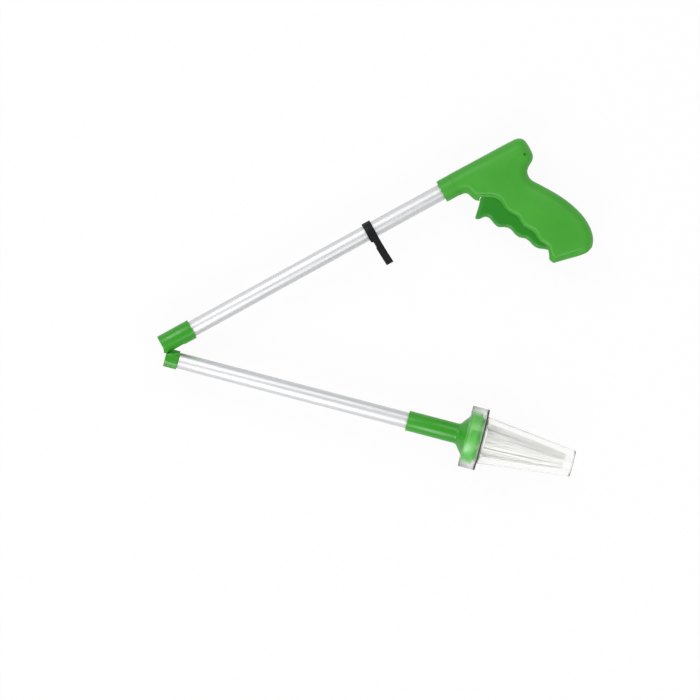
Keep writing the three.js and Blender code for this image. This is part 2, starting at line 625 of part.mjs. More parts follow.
function buildPuller() {
  const plateFront = PULLER_PLATE + PULLER_PLATE_THICK;
  const webBack = PULLER_PLATE + PULLER_STEP;
  const webFront = webBack + PULLER_PLATE_THICK;
  const inner = PULLER_RADIUS - PULLER_WALL;
  const stepInner = PULLER_STEP_RADIUS - PULLER_PLATE_THICK;
  const lipBack = TAB_FRONT + FIT;
  const lipFront = lipBack + PULLER_LIP;
  const cup = turned([
    [PULLER_SLEEVE_START, PULLER_BORE], [PULLER_SLEEVE_START, PULLER_SLEEVE_RADIUS],
    [PULLER_PLATE, PULLER_SLEEVE_RADIUS], [PULLER_PLATE, PULLER_STEP_RADIUS],
    [webBack, PULLER_STEP_RADIUS], [webBack, PULLER_RADIUS], [lipFront, PULLER_RADIUS],
    [lipFront, PULLER_LIP_INNER], [lipBack, PULLER_LIP_INNER], [lipBack, inner], [webFront, inner],
    [webFront, stepInner], [plateFront, stepInner], [plateFront, 0],
    [PULLER_PLATE - FIT, 0], [PULLER_PLATE - FIT, PULLER_BORE],
    [PULLER_SLEEVE_START, PULLER_BORE],
  ]);
  const hole = POST_HALF + RUNNING;
  const holes = POST_CORNERS.map(([y, z]) => box(
    PULLER_PLATE - 1, webFront + 1,
    y * POST_CENTRE - hole, y * POST_CENTRE + hole, z * POST_CENTRE - hole, z * POST_CENTRE + hole,
  ));
  return cut(cup, ...holes);
}

// Open helix of wire about X, closed at both ends
function buildSpring(start, end) {
  const steps = Math.round(SPRING_TURNS * SPRING_STEPS);
  const points = [];
  for (let k = 0; k <= steps; k += 1) {
    const angle = (2 * Math.PI * k) / SPRING_STEPS;
    const x = start + SPRING_WIRE + ((end - start - 2 * SPRING_WIRE) * k) / steps;
    points.push(new THREE.Vector3(x, SPRING_RADIUS * Math.cos(angle), SPRING_RADIUS * Math.sin(angle)));
  }
  const along = new THREE.Vector3(1, 0, 0);
  const position = [];
  points.forEach((point) => {
    const outward = new THREE.Vector3(0, point.y, point.z).normalize();
    for (let s = 0; s < SPRING_SIDES; s += 1) {
      const turn = (2 * Math.PI * s) / SPRING_SIDES;
      const place = point.clone()
        .addScaledVector(outward, SPRING_WIRE * Math.cos(turn))
        .addScaledVector(along, SPRING_WIRE * Math.sin(turn));
      position.push(place.x, place.y, place.z);
    }
  });
  const index = [];
  for (let k = 0; k < steps; k += 1) {
    for (let s = 0; s < SPRING_SIDES; s += 1) {
      const [a, b] = [k * SPRING_SIDES + s, k * SPRING_SIDES + ((s + 1) % SPRING_SIDES)];
      index.push(a, b, a + SPRING_SIDES, b, b + SPRING_SIDES, a + SPRING_SIDES);
    }
  }
  const last = steps * SPRING_SIDES;
  for (let s = 1; s < SPRING_SIDES - 1; s += 1) {
    index.push(0, s + 1, s, last, last + s, last + s + 1);
  }
  const geometry = new THREE.BufferGeometry();
  geometry.setAttribute('position', new THREE.Float32BufferAttribute(position, 3));
  geometry.setIndex(index);
  const pitch = (end - start - 2 * SPRING_WIRE) / SPRING_TURNS;
  console.log(`return_spring: least gap between turns ${(pitch - 2 * SPRING_WIRE).toFixed(2)} mm`);
  return geometry;
}

// One jaw, hinged at its inner edge and hooked by the puller at its outer tab
function buildJaw() {
  return cut(
    join(
      sector(JAW_INNER, JAW_OUTER, JAW_SPREAD, JAW_BACK, JAW_FRONT),
      box(TAB_BACK, JAW_BACK + 0.5, JAW_PIVOT_R - JAW_EYE, NECK_OUTER, -JAW_EYE_HALF, JAW_EYE_HALF),
      box(TAB_BACK, TAB_FRONT, NECK_OUTER - 1, TAB_OUTER, -TAB_HALF, TAB_HALF),
      rodZ(JAW_EYE, JAW_PIVOT_X, JAW_PIVOT_R, -JAW_EYE_HALF, JAW_EYE_HALF),
    ),
    rodZ(JAW_PIN_RADIUS + FIT, JAW_PIVOT_X, JAW_PIVOT_R, -JAW_EYE_HALF - 1, JAW_EYE_HALF + 1, 12),
  );
}

// One strand, a slim tapering prism from root to tip
function strand(root, tip) {
  const position = [];
  [[root, BRISTLE_ROOT_RADIUS], [tip, BRISTLE_TIP_RADIUS]].forEach(([place, radius]) => {
    for (let s = 0; s < BRISTLE_SIDES; s += 1) {
      const turn = (2 * Math.PI * s) / BRISTLE_SIDES;
      position.push(place.x, place.y + radius * Math.cos(turn), place.z + radius * Math.sin(turn));
    }
  });
  const index = [0, 2, 1, 3, 4, 5];
  for (let s = 0; s < BRISTLE_SIDES; s += 1) {
    const next = (s + 1) % BRISTLE_SIDES;
    index.push(s, next, s + BRISTLE_SIDES, next, next + BRISTLE_SIDES, s + BRISTLE_SIDES);
  }
  const geometry = new THREE.BufferGeometry();
  geometry.setAttribute('position', new THREE.Float32BufferAttribute(position, 3));
  geometry.setIndex(index);
  return geometry;
}

function buildBristles() {
  const back = JAW_FRONT + FIT;
  const rootX = back + BRISTLE_BACKING / 2;
  const strands = BRISTLE_RINGS.flatMap(([inwards, count], ring) => Array.from({ length: count }, (_, k) => {
    const radius = BRISTLE_BACKING_OUTER - inwards;
    const angle = radians(-BRISTLE_SPREAD + (2 * BRISTLE_SPREAD * k) / (count - 1));
    const tipX = BRISTLE_TIP_X - BRISTLE_TIP_VARIES * Math.abs(Math.sin(3.7 * k + 1.9 * ring));
    const root = new THREE.Vector3(rootX, radius * Math.cos(angle), radius * Math.sin(angle));
    const gathered = BRISTLE_GATHER * radius;
    const tip = new THREE.Vector3(tipX, gathered * Math.cos(angle), gathered * Math.sin(angle));
    return strand(root, tip);
  }));
  const edge = BRISTLE_BACKING_OUTER;
  const backing = sector(BRISTLE_BACKING_INNER, edge, JAW_SPREAD, back, back + BRISTLE_BACKING);
  return join(backing, ...strands);
}

function buildCover() {
  const lip = HUB_RIM_RADIUS + FIT;
  const wall = COVER_WALL;
  const collar = COVER_COLLAR_RADIUS;
  return turned([
    [COVER_BACK, lip], [COVER_BACK, collar - COVER_ROUND], [COVER_BACK + COVER_ROUND, collar],
    [COVER_COLLAR_END - COVER_ROUND, collar], [COVER_COLLAR_END, collar - COVER_ROUND],
    [COVER_COLLAR_END, COVER_ROOT_RADIUS + 0.5], [COVER_ROOT_X, COVER_ROOT_RADIUS],
    [COVER_TIP_X - COVER_ROUND, COVER_TIP_RADIUS], [COVER_TIP_X, COVER_TIP_RADIUS - COVER_ROUND],
    [COVER_TIP_X, 0], [COVER_TIP_X - wall, 0], [COVER_TIP_X - wall, COVER_TIP_RADIUS - wall],
    [COVER_ROOT_X, COVER_ROOT_RADIUS - wall], [COVER_COLLAR_END - wall, COVER_ROOT_RADIUS - 0.6 * wall],
    [COVER_COLLAR_END - wall, collar - wall], [COVER_BACK + wall, collar - wall], [COVER_BACK + wall, lip],
    [COVER_BACK, lip],
  ], COVER_SIDES);
}

function buildLowerArm() {
  const group = new THREE.Group();
  group.position.y = -HINGE_OFFSET;
  group.add(
    node('hinge_cap', buildHingeCap(), green),
    node('lower_tube', tube(CAP_LENGTH + FIT, TUBE_STOP - FIT), aluminium),
    node('brush_hub', buildHub(), green),
    node('puller', buildPuller(), green),
    node('return_spring', buildSpring(SPRING_SEAT + FIT, PULLER_PLATE - FIT), steel),
    node('clear_cover', buildCover(), clearPlastic),
  );
  const slugEnd = PULLER_PLATE - 2 * FIT;
  group.add(node('cord_end_slug', rodX(PULLER_BORE - FIT, slugEnd - SLUG_LENGTH, slugEnd, 16), steel));
  for (let k = 0; k < JAW_COUNT; k += 1) {
    const pin = rodZ(JAW_PIN_RADIUS, JAW_PIVOT_X, JAW_PIVOT_R, -JAW_PIN_HALF, JAW_PIN_HALF, 12);
    const quarter = new THREE.Group();
    quarter.rotation.x = (k * 2 * Math.PI) / JAW_COUNT;
    quarter.add(
      node(`jaw_${k + 1}`, buildJaw(), greyPlastic),
      node(`jaw_pin_${k + 1}`, pin, steel),
      node(`bristles_${k + 1}`, buildBristles(), nylonWhite),
    );
    group.add(quarter);
  }
  return group;
}

function buildCord() {
  const cord = new THREE.Group();
  const upper = new THREE.Group();
  upper.rotation.z = radians(REST_ANGLE);
  const handleStart = HANDLE_X + TUBE_SEAT - BUSH_PLUG - 4;
  const runStart = CORD_BEND + CORD_SPLIT;
  const run = rodX(CORD_RADIUS, runStart, handleStart, CORD_SIDES).translate(0, HINGE_OFFSET, 0);
  upper.add(node('pull_cord_upper', run, nylonWhite));
  const bushEnd = HANDLE_X + TUBE_SEAT + BUSH_FLANGE;
  const anchor = [HANDLE_X + CORD_ANCHOR[0], HINGE_OFFSET + CORD_ANCHOR[1]];
  const lean = Math.hypot(anchor[0] - bushEnd, anchor[1] - HINGE_OFFSET);
  const short = (BARREL_RADIUS + FIT) / lean;
  const inHandle = cordAlong([
    [handleStart + FIT, HINGE_OFFSET, 0], [bushEnd - 3, HINGE_OFFSET, 0],
    [bushEnd + 1.5, HINGE_OFFSET - 0.6, 0], [bushEnd + 8, HINGE_OFFSET - 11, 0],
    [anchor[0] + short * (bushEnd - anchor[0]), anchor[1] + short * (HINGE_OFFSET - anchor[1]), 0],
  ], 24);
  upper.add(node('pull_cord_handle', inHandle, nylonWhite));
  const turn = radians(REST_ANGLE);
  const up = new THREE.Vector3(0, 0, 1);
  const onUpper = ([x, y]) => new THREE.Vector3(x, y, 0).applyAxisAngle(up, turn).toArray();
  const onLower = ([x, y]) => [x, -y, 0];
  const half = [[runStart - FIT, HINGE_OFFSET], [CORD_BEND, HINGE_OFFSET - 0.2], ...CORD_NEAR_PIVOT];
  const crossing = cordAlong([...half.map(onUpper), [0.2, 0, 0], ...half.map(onLower).reverse()], 36);
  const slugStart = PULLER_PLATE - 2 * FIT - SLUG_LENGTH;
  const lower = rodX(CORD_RADIUS, runStart, slugStart - FIT, CORD_SIDES).translate(0, -HINGE_OFFSET, 0);
  cord.add(upper, node('pull_cord_hinge', crossing, nylonWhite), node('pull_cord_lower', lower, nylonWhite));
  return cord;
}

function buildModel() {
  const upperArm = buildUpperArm();
  upperArm.rotation.z = radians(REST_ANGLE);
  const handle = buildHandle();
  handle.position.set(HANDLE_X, HINGE_OFFSET, 0);
  handle.add(buildTrigger());
  upperArm.add(handle);
  const tool = new THREE.Group();
  tool.add(upperArm, buildLowerArm(), buildCord());
  const extent = new THREE.Box3().setFromObject(tool, true);
  const middle = extent.getCenter(new THREE.Vector3());
  tool.position.set(-middle.x, -middle.y, -extent.min.z);
  tool.updateMatrixWorld(true);
  return tool;
}

const spiderCatcher = buildModel();

export default spiderCatcher;
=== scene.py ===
"""Looks of a foldable spider catcher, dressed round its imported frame.

A piece is modelled in millimetres in the frame of what carries it: x along the tube from the fold
pivot (from the nose on the handle), y across it, z up. Its place is then put into its mesh, in
metres.
"""

import json
import logging
import math
import random
from collections.abc import Callable, Iterator, Sequence
from contextlib import contextmanager
from dataclasses import dataclass
from enum import Enum

import bmesh
import bpy
import numpy as np
from mathutils import Matrix, Vector


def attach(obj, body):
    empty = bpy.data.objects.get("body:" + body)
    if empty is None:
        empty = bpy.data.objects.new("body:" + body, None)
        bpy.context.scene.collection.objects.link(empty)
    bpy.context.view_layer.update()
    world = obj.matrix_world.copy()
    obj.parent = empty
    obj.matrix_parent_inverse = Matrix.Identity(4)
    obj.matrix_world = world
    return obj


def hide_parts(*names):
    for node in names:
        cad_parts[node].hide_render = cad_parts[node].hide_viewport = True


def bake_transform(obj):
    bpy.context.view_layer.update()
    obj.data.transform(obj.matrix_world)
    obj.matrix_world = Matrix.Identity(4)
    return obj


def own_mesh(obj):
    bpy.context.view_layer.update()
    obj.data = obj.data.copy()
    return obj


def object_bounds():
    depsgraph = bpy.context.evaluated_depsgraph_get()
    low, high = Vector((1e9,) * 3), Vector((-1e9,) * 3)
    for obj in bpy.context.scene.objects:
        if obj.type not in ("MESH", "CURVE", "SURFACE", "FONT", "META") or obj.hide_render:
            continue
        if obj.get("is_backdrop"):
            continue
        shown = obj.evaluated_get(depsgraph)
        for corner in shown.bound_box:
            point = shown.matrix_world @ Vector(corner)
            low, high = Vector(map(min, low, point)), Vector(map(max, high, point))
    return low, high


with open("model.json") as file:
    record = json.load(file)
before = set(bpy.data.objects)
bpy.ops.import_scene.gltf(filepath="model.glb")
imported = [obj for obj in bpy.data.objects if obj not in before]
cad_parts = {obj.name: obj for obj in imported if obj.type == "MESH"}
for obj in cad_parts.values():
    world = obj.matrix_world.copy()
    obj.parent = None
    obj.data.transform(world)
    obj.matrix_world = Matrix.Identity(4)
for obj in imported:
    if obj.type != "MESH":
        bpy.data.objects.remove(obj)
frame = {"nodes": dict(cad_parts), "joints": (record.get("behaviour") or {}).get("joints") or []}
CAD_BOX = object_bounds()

LOG = logging.getLogger("spider_catcher")

MM = 0.001
FIT = 0.3  # between pieces that are seated together
OVERLAP = 1.0  # how far a shape reaches into or past what it is joined to or cut from
MERGE = 1e-3  # vertices closer than this are one
TUBE_RADIUS = 7.0
HINGE_OFFSET = 5.5  # fold pivot to either tube's axis
HANDLE_X = 277.0  # fold pivot to the handle's datum at its nose
ROUND_STEPS = 96  # facets round a turned piece
PIN_SIDES = 32  # facets round a thin pin
SMALL_SIDES = 24  # facets round a hole or shank that hardly shows
EDGE_POINTS = 1200  # on an edge that ribs are set between
LINE_POINTS = 300  # on a line that distances are taken from
CURVE_STEPS = 24  # between two given points

Point = tuple[float, float]
Place = tuple[float, float, float]
Piece = bpy.types.Object
Tree = bpy.types.NodeTree
Node = bpy.types.Node
Socket = bpy.types.NodeSocket
Material = bpy.types.Material


class Body(str, Enum):
    """Bodies of the frame that pieces ride on."""

    HANDLE = "handle"
    TRIGGER = "trigger"
    CORD = "cord_upper"
    LOWER = "lower_arm"
    PULLER = "puller"
    COVER = "cover"


class Slot(str, Enum):
    """Material slots of the record."""

    GREEN = "green_plastic"
    TRIGGER = "trigger_plastic"
    TUBE = "tube_metal"
    STEEL = "steel"
    STRAP = "strap_fabric"
    BRISTLE = "bristle_nylon"
    CORD = "cord_nylon"
    INNER = "inner_plastic"
    CLEAR = "clear_plastic"


def joint(name: str) -> dict:
    """The frame's joint of that name."""
    return next(j for j in frame["joints"] if j["name"] == name)


@dataclass(frozen=True)
class ArmFrame:
    """Where an arm lies: millimetres from the fold pivot along the tube, across it and up."""

    turn: float
    offset: float

    def matrix(self, along: float = 0.0) -> Matrix:
        """Matrix from the arm's millimetres to the frame's metres.

        Args:
            along: Where the piece's own zero lies along the tube.

        Returns:
            The placing matrix.
        """
        return (
            Matrix.Translation(joint("fold")["pos_m"])
            @ Matrix.Rotation(self.turn, 4, "Z")
            @ Matrix.Scale(MM, 4)
            @ Matrix.Translation((along, self.offset, 0.0))
        )


CORD_AXIS = joint("cord_upper")["axis"]
UPPER = ArmFrame(math.atan2(CORD_AXIS[1], CORD_AXIS[0]), HINGE_OFFSET)
LOWER = ArmFrame(0.0, -HINGE_OFFSET)


def only(piece: Piece) -> None:
    """Makes one piece the only selected and active one.

    Args:
        piece: The piece.
    """
    bpy.ops.object.select_all(action="DESELECT")
    piece.select_set(True)
    bpy.context.view_layer.objects.active = piece


def start(name: str, add_shape: Callable, **settings: object) -> Piece:
    """Adds a primitive as the start of a piece.

    Args:
        name: The piece's name.
        add_shape: The operator that adds the primitive.
        **settings: The operator's settings.

    Returns:
        The new object, alone selected.
    """
    bpy.ops.object.select_all(action="DESELECT")
    add_shape(**settings)
    piece = bpy.context.object
    piece.name = piece.data.name = name
    return piece


@contextmanager
def editing(piece: Piece, selected: bool = True) -> Iterator[bmesh.types.BMesh]:
    """Edit mode on one piece.

    Args:
        piece: The piece to shape.
        selected: Whether all of it is selected at first.

    Yields:
        The edit mesh.
    """
    only(piece)
    bpy.ops.object.mode_set(mode="EDIT")
    bpy.ops.mesh.select_mode(type="VERT")
    bpy.ops.mesh.select_all(action="SELECT" if selected else "DESELECT")
    yield bmesh.from_edit_mesh(piece.data)
    bmesh.update_edit_mesh(piece.data)
    bpy.ops.object.mode_set(mode="OBJECT")


def apply(piece: Piece, kind: str, **settings: object) -> None:
    """Adds a modifier to a piece and applies it.

    Args:
        piece: The piece.
        kind: The modifier's type.
        **settings: The modifier's settings.
    """
    only(piece)
    modifier = piece.modifiers.new(kind.lower(), kind)
    for name, value in settings.items():
        setattr(modifier, name, value)
    bpy.ops.object.modifier_apply(modifier=modifier.name)


def combine(piece: Piece, operation: str, *tools: Piece) -> Piece:
    """Cuts tools from a piece, or joins them to it, and removes them.

    Args:
        piece: The piece that stays.
        operation: DIFFERENCE or UNION.
        *tools: The closed shapes to use.

    Returns:
        The piece.
    """
    for tool in tools:
        apply(piece, "BOOLEAN", operation=operation, object=tool, solver="EXACT")
        bpy.data.objects.remove(tool)
    return piece


def soften(piece: Piece, width: float, segments: int = 3, sharp: float = 35.0) -> None:
    """Rounds the edges sharper than an angle in degrees by a width in millimetres."""
    limit = math.radians(sharp)
    apply(piece, "BEVEL", width=width, segments=segments, limit_method="ANGLE", angle_limit=limit)


def smooth(piece: Piece, degrees: float = 40.0) -> None:
    """Shades a piece smooth, apart from edges sharper than an angle."""
    only(piece)
    bpy.ops.object.shade_smooth_by_angle(angle=math.radians(degrees))


def outward(piece: Piece) -> None:
    """Merges a piece's doubled vertices and turns its faces outwards.

    Args:
        piece: The closed piece.
    """
    with editing(piece):
        bpy.ops.mesh.remove_doubles(threshold=MERGE)
        bpy.ops.mesh.normals_make_consistent(inside=False)


def mark(piece: Piece, name: str, values: Sequence[float]) -> None:
    """Gives a piece's vertices an attribute that its material reads."""
    piece.data.attributes.new(name, "FLOAT", "POINT").data.foreach_set("value", values)


def rod(name: str, radius: float, ends: Point, axis: str = "X", at: Point = (0.0, 0.0),
        sides: int = 48) -> Piece:
    """A round rod.

    Args:
        name: The piece's name.
        radius: Its radius.
        ends: Where it starts and ends along its axis.
        axis: X, or Z.
        at: Its place across the axis: y and z, or x and y for Z.
        sides: Facets round it.

    Returns:
        The rod.
    """
    middle = (ends[0] + ends[1]) / 2
    turned = axis == "X"
    return start(
        name, bpy.ops.mesh.primitive_cylinder_add,
        vertices=sides, radius=radius, depth=ends[1] - ends[0],
        location=(middle, *at) if turned else (*at, middle),
        rotation=(0.0, math.pi / 2, 0.0) if turned else (0.0, 0.0, 0.0),
    )


def block(name: str, low: Place, high: Place) -> Piece:
    """A box between two corners.

    Args:
        name: The piece's name.
        low: The corner with the lowest coordinates.
        high: The corner with the highest ones.

    Returns:
        The box.
    """
    middle = [(a + b) / 2 for a, b in zip(low, high)]
    piece = start(name, bpy.ops.mesh.primitive_cube_add, size=1.0, location=middle)
    piece.scale = [b - a for a, b in zip(low, high)]
    bpy.ops.object.transform_apply(location=True, rotation=True, scale=True)
    return piece


def prism(name: str, outline: Sequence[Point], low: float, high: float) -> Piece:
    """A flat outline drawn up from one height to another.

    Args:
        name: The piece's name.
        outline: The outline's corners.
        low: The lower face's height.
        high: The upper face's height.

    Returns:
        The closed prism.
    """
    corners = len(outline)
    piece = start(name, bpy.ops.mesh.primitive_circle_add, vertices=corners, fill_type="NGON")
    for vertex, (x, y) in zip(piece.data.vertices, outline):
        vertex.co = (x, y, low)
    with editing(piece):
        bpy.ops.mesh.extrude_region_move(TRANSFORM_OT_translate={"value": (0.0, 0.0, high - low)})
    outward(piece)
    return piece


def spun(name: str, section: Sequence[Point], steps: int = ROUND_STEPS) -> Piece:
    """A closed section of (x, radius) points, spun round the tube's axis.

    Args:
        name: The piece's name.
        section: The section's corners in order.
        steps: Facets round it.

    Returns:
        The turned piece.
    """
    corners = len(section)
    piece = start(name, bpy.ops.mesh.primitive_circle_add, vertices=corners, fill_type="NOTHING")
    for vertex, (x, radius) in zip(piece.data.vertices, section):
        vertex.co = (x, radius, 0.0)
    with editing(piece):
        bpy.ops.mesh.spin(
            steps=steps, angle=2 * math.pi, center=(0.0, 0.0, 0.0), axis=(1.0, 0.0, 0.0))
    outward(piece)
    return piece


def wire(name: str, points: Sequence[Place], radius: float) -> Piece:
    """A round wire along points.

    Args:
        name: The piece's name.
        points: The points in order.
        radius: The wire's radius.

    Returns:
        The wire, as a mesh.
    """
    piece = start(name, bpy.ops.curve.primitive_bezier_curve_add)
    curve = piece.data
    curve.splines.clear()
    spline = curve.splines.new("POLY")
    spline.points.add(len(points) - 1)
    for point, place in zip(spline.points, points):
        point.co = (*place, 1.0)
    curve.dimensions = "3D"
    curve.bevel_depth = radius
    curve.bevel_resolution = 3
    curve.use_fill_caps = True
    only(piece)
    bpy.ops.object.convert(target="MESH")
    return bpy.context.object


def cheek(name: str, points: np.ndarray, height: np.ndarray, rim: np.ndarray, base: float,
          closed: bool = False) -> Piece:
    """A grid of points at their heights, with its edge drawn down to a parting plane.

    Args:
        name: The piece's name.
        points: The points, by rib and by place across.
        height: Their heights.
        rim: How much of the painted highlight lies at each point.
        base: The parting plane's height.
        closed: Whether the parting plane gets a face.

    Returns:
        The shape, with its cheek upwards.
    """
    ribs, across = points.shape[:2]
    piece = start(name, bpy.ops.mesh.primitive_grid_add, x_subdivisions=across - 1,
                  y_subdivisions=ribs - 1, size=1.0)
    for vertex, (x, y), z in zip(piece.data.vertices, points.reshape(-1, 2), height):
        vertex.co = (x, y, z)
    mark(piece, "rim", rim.astype(np.float32))
    with editing(piece, selected=False) as mesh:
        for edge in mesh.edges:
            edge.select_set(edge.is_boundary)
        bpy.ops.mesh.extrude_region_move()
        for vertex in mesh.verts:
            if vertex.select:
                vertex.co.z = base
        if closed:
            bpy.ops.mesh.edge_face_add()
    return piece


def run(points: Sequence[Point], count: int) -> np.ndarray:
    """An even run of points on the smooth curve through given ones.

    Args:
        points: The points to pass.
        count: How many points to return.

    Returns:
        The points, evenly spaced along the curve.
    """
    known = np.array(points, float)
    ends = np.vstack([2 * known[0] - known[1], known, 2 * known[-1] - known[-2]])
    spans = np.sqrt(np.linalg.norm(np.diff(ends, axis=0), axis=1))
    knots = np.concatenate([[0.0], np.cumsum(spans)])
    fine = []
    for k in range(1, len(ends) - 2):
        t = np.linspace(knots[k], knots[k + 1], CURVE_STEPS, endpoint=False)[:, None]
        level = ends[k - 1:k + 3]
        times = knots[k - 1:k + 3]
        for depth in (1, 2, 3):
            level = [
                ((times[i + depth] - t) * level[i] + (t - times[i]) * level[i + 1])
                / (times[i + depth] - times[i])
                for i in range(4 - depth)
            ]
        fine.append(level[0])
    dense = np.vstack([*fine, known[-1:]])
    length = lengths(dense)
    even = np.linspace(0.0, length[-1], count)
    return np.column_stack([np.interp(even, length, dense[:, k]) for k in range(2)])


def lengths(line: np.ndarray) -> np.ndarray:
    """How far along a line each of its points lies."""
    return np.concatenate([[0.0], np.cumsum(np.linalg.norm(np.diff(line, axis=0), axis=1))])


def at_shares(points: Sequence[Point], share: np.ndarray) -> np.ndarray:
    """Points on the smooth curve through given ones.

    Args:
        points: The points that the curve passes.
        share: Shares of the curve's length.

    Returns:
        The points at these shares.
    """
    line = run(points, EDGE_POINTS)
    pick = np.linspace(0.0, 1.0, EDGE_POINTS)
    return np.column_stack([np.interp(share, pick, line[:, k]) for k in range(2)])


def rib_ends(front: Sequence[Point], back: Sequence[Point], pairs: Sequence[Point],
             share: np.ndarray) -> tuple[np.ndarray, np.ndarray]:
    """Where ribs start on a front edge and end on a back edge.

    Args:
        front: Given points of the front edge.
        back: Given points of the back edge.
        pairs: Shares of the front edge and of the back edge that a rib joins.
        share: The ribs' shares of the front edge.

    Returns:
        The ribs' first and last points.
    """
    known = np.array(pairs)
    return at_shares(front, share), at_shares(back, np.interp(share, known[:, 0], known[:, 1]))


def nearest(points: np.ndarray, line: np.ndarray) -> tuple[np.ndarray, np.ndarray]:
    """How far points lie from a line, and where along it.

    Args:
        points: The points.
        line: The line's points in order.

    Returns:
        Signed distances, positive to the left of the line, and lengths along it.
    """
    first, step = line[:-1], np.diff(line, axis=0)
    size = np.linalg.norm(step, axis=1)
    gap = points[:, None, :] - first[None]
    share = np.clip((gap * step).sum(2) / size**2, 0.0, 1.0)
    off = gap - share[:, :, None] * step
    best = np.argmin((off**2).sum(2), axis=1)
    row = np.arange(len(points))
    side = step[best, 0] * off[row, best, 1] - step[best, 1] * off[row, best, 0]
    along = lengths(line)[best] + share[row, best] * size[best]
    return np.copysign(np.linalg.norm(off[row, best], axis=1), side), along


def gap_to(points: np.ndarray, line: Sequence[Point]) -> np.ndarray:
    """How far points lie from the smooth curve through given ones."""
    return np.abs(nearest(points, run(line, LINE_POINTS))[0])


def drop(distance: np.ndarray, radius: float | np.ndarray) -> np.ndarray:
    """How far a rounded edge falls at a distance in from it."""
    inner = np.clip(radius - distance, 0.0, radius)
    return radius - np.sqrt(radius**2 - inner**2)


def part(value: float | np.ndarray, low: float, high: float) -> np.ndarray:
    """How much of the way from one value to another is done, from 0 to 1."""
    return np.clip((value - low) / (high - low), 0.0, 1.0)


def ease(share: np.ndarray) -> np.ndarray:
    """A share that starts and ends slowly."""
    return share * share * (3 - 2 * share)


def settle(piece: Piece, place: Matrix, body: str, slot: Slot, finish: Material,
           *nodes: str) -> Piece:
    """Puts a finished piece in place, dresses it and makes it ride.

    Args:
        piece: The piece, modelled in millimetres.
        place: Its placing matrix.
        body: The body that it rides on.
        slot: The record's slot of its finish; not used.
        finish: Its material.
        *nodes: The CAD nodes that it stands for.

    Returns:
        The piece.
    """
    only(piece)
    bpy.ops.object.transform_apply(location=True, rotation=True, scale=True)
    piece.data.transform(place)
    piece.data.materials.clear()
    piece.data.materials.append(finish)
    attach(piece, body)
    if nodes:
        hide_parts(*nodes)
    LOG.info("%s: %d faces on %s", piece.name, len(piece.data.polygons), body)
    return piece


def linear(code: str) -> tuple[float, float, float, float]:
    """An sRGB hex colour as linear light."""
    parts = [int(code[k:k + 2], 16) / 255 for k in (1, 3, 5)]
    return (*[c / 12.92 if c <= 0.04045 else ((c + 0.055) / 1.055) ** 2.4 for c in parts], 1.0)


def per(size: float) -> float:
    """Pattern scale, per metre, of a feature of a size in millimetres."""
    return 1.0 / (size * MM)


def feed(node: Node, inputs: dict) -> None:
    """Sets a node's sockets.

    Args:
        node: The node.
        inputs: Socket name or number to a value, or to the socket that feeds it.
    """
    for name, value in inputs.items():
        if isinstance(value, Socket):
            node.id_data.links.new(value, node.inputs[name])
        else:
            node.inputs[name].default_value = value


def add(tree: Tree, kind: str, inputs: dict | None = None, **settings: object) -> Node:
    """Adds a shader node with its settings and links.

    Args:
        tree: The node tree.
        kind: The node's type, without its prefix.
        inputs: Socket name or number to a value, or to the socket that feeds it.
        **settings: The node's own settings.

    Returns:
        The node.
    """
    node = tree.nodes.new(f"ShaderNode{kind}")
    for name, value in settings.items():
        setattr(node, name, value)
    feed(node, inputs or {})
    return node


@dataclass(frozen=True)
class Finish:
    """What every finish has: a name and the constants of its surface."""

    name: str
    roughness: float = 0.5
    ior: float = 1.5
    metallic: float = 0.0
    smoother: float = 0.0  # how far the roughness falls in places
    rougher: float = 0.0  # how far it rises

    def begin(self) -> tuple[Material, Tree, Node, Socket]:
        """A new material with its constants set.

        Returns:
            The material, its tree, its shader and its Object coordinates.
        """
        material = bpy.data.materials.new(self.name)
        material.use_nodes = True
        tree = material.node_tree
        shader = tree.nodes["Principled BSDF"]
        feed(shader, {"Roughness": self.roughness, "Metallic": self.metallic})
        if not self.metallic:
            feed(shader, {"IOR": self.ior})
        return material, tree, shader, add(tree, "TexCoord").outputs["Object"]

    def mix(self, tree: Tree, share: Socket, low: str, high: str) -> Socket:
        """A colour between two hex colours by a share."""
        inputs = {0: share, 6: linear(low), 7: linear(high)}
        return add(tree, "Mix", inputs, data_type="RGBA").outputs[2]

    def spread(self, tree: Tree, value: Socket, low: float, high: float, start_at: float = 0.3,
               end_at: float = 0.7) -> Socket:
        """A value moved from one range to another."""
        inputs = {"Value": value, "From Min": start_at, "From Max": end_at, "To Min": low,
                  "To Max": high}
        return add(tree, "MapRange", inputs).outputs["Result"]

    def rough(self, tree: Tree, value: Socket) -> Socket:
        """The roughness, varied by a pattern."""
        low, high = self.roughness - self.smoother, self.roughness + self.rougher
        return self.spread(tree, value, low, high)

    def raised(self, tree: Tree, height: Socket, depth: float) -> Socket:
        """A bump of a depth in millimetres."""
        inputs = {"Height": height, "Distance": depth * MM, "Strength": 1.0}
        return add(tree, "Bump", inputs).outputs["Normal"]


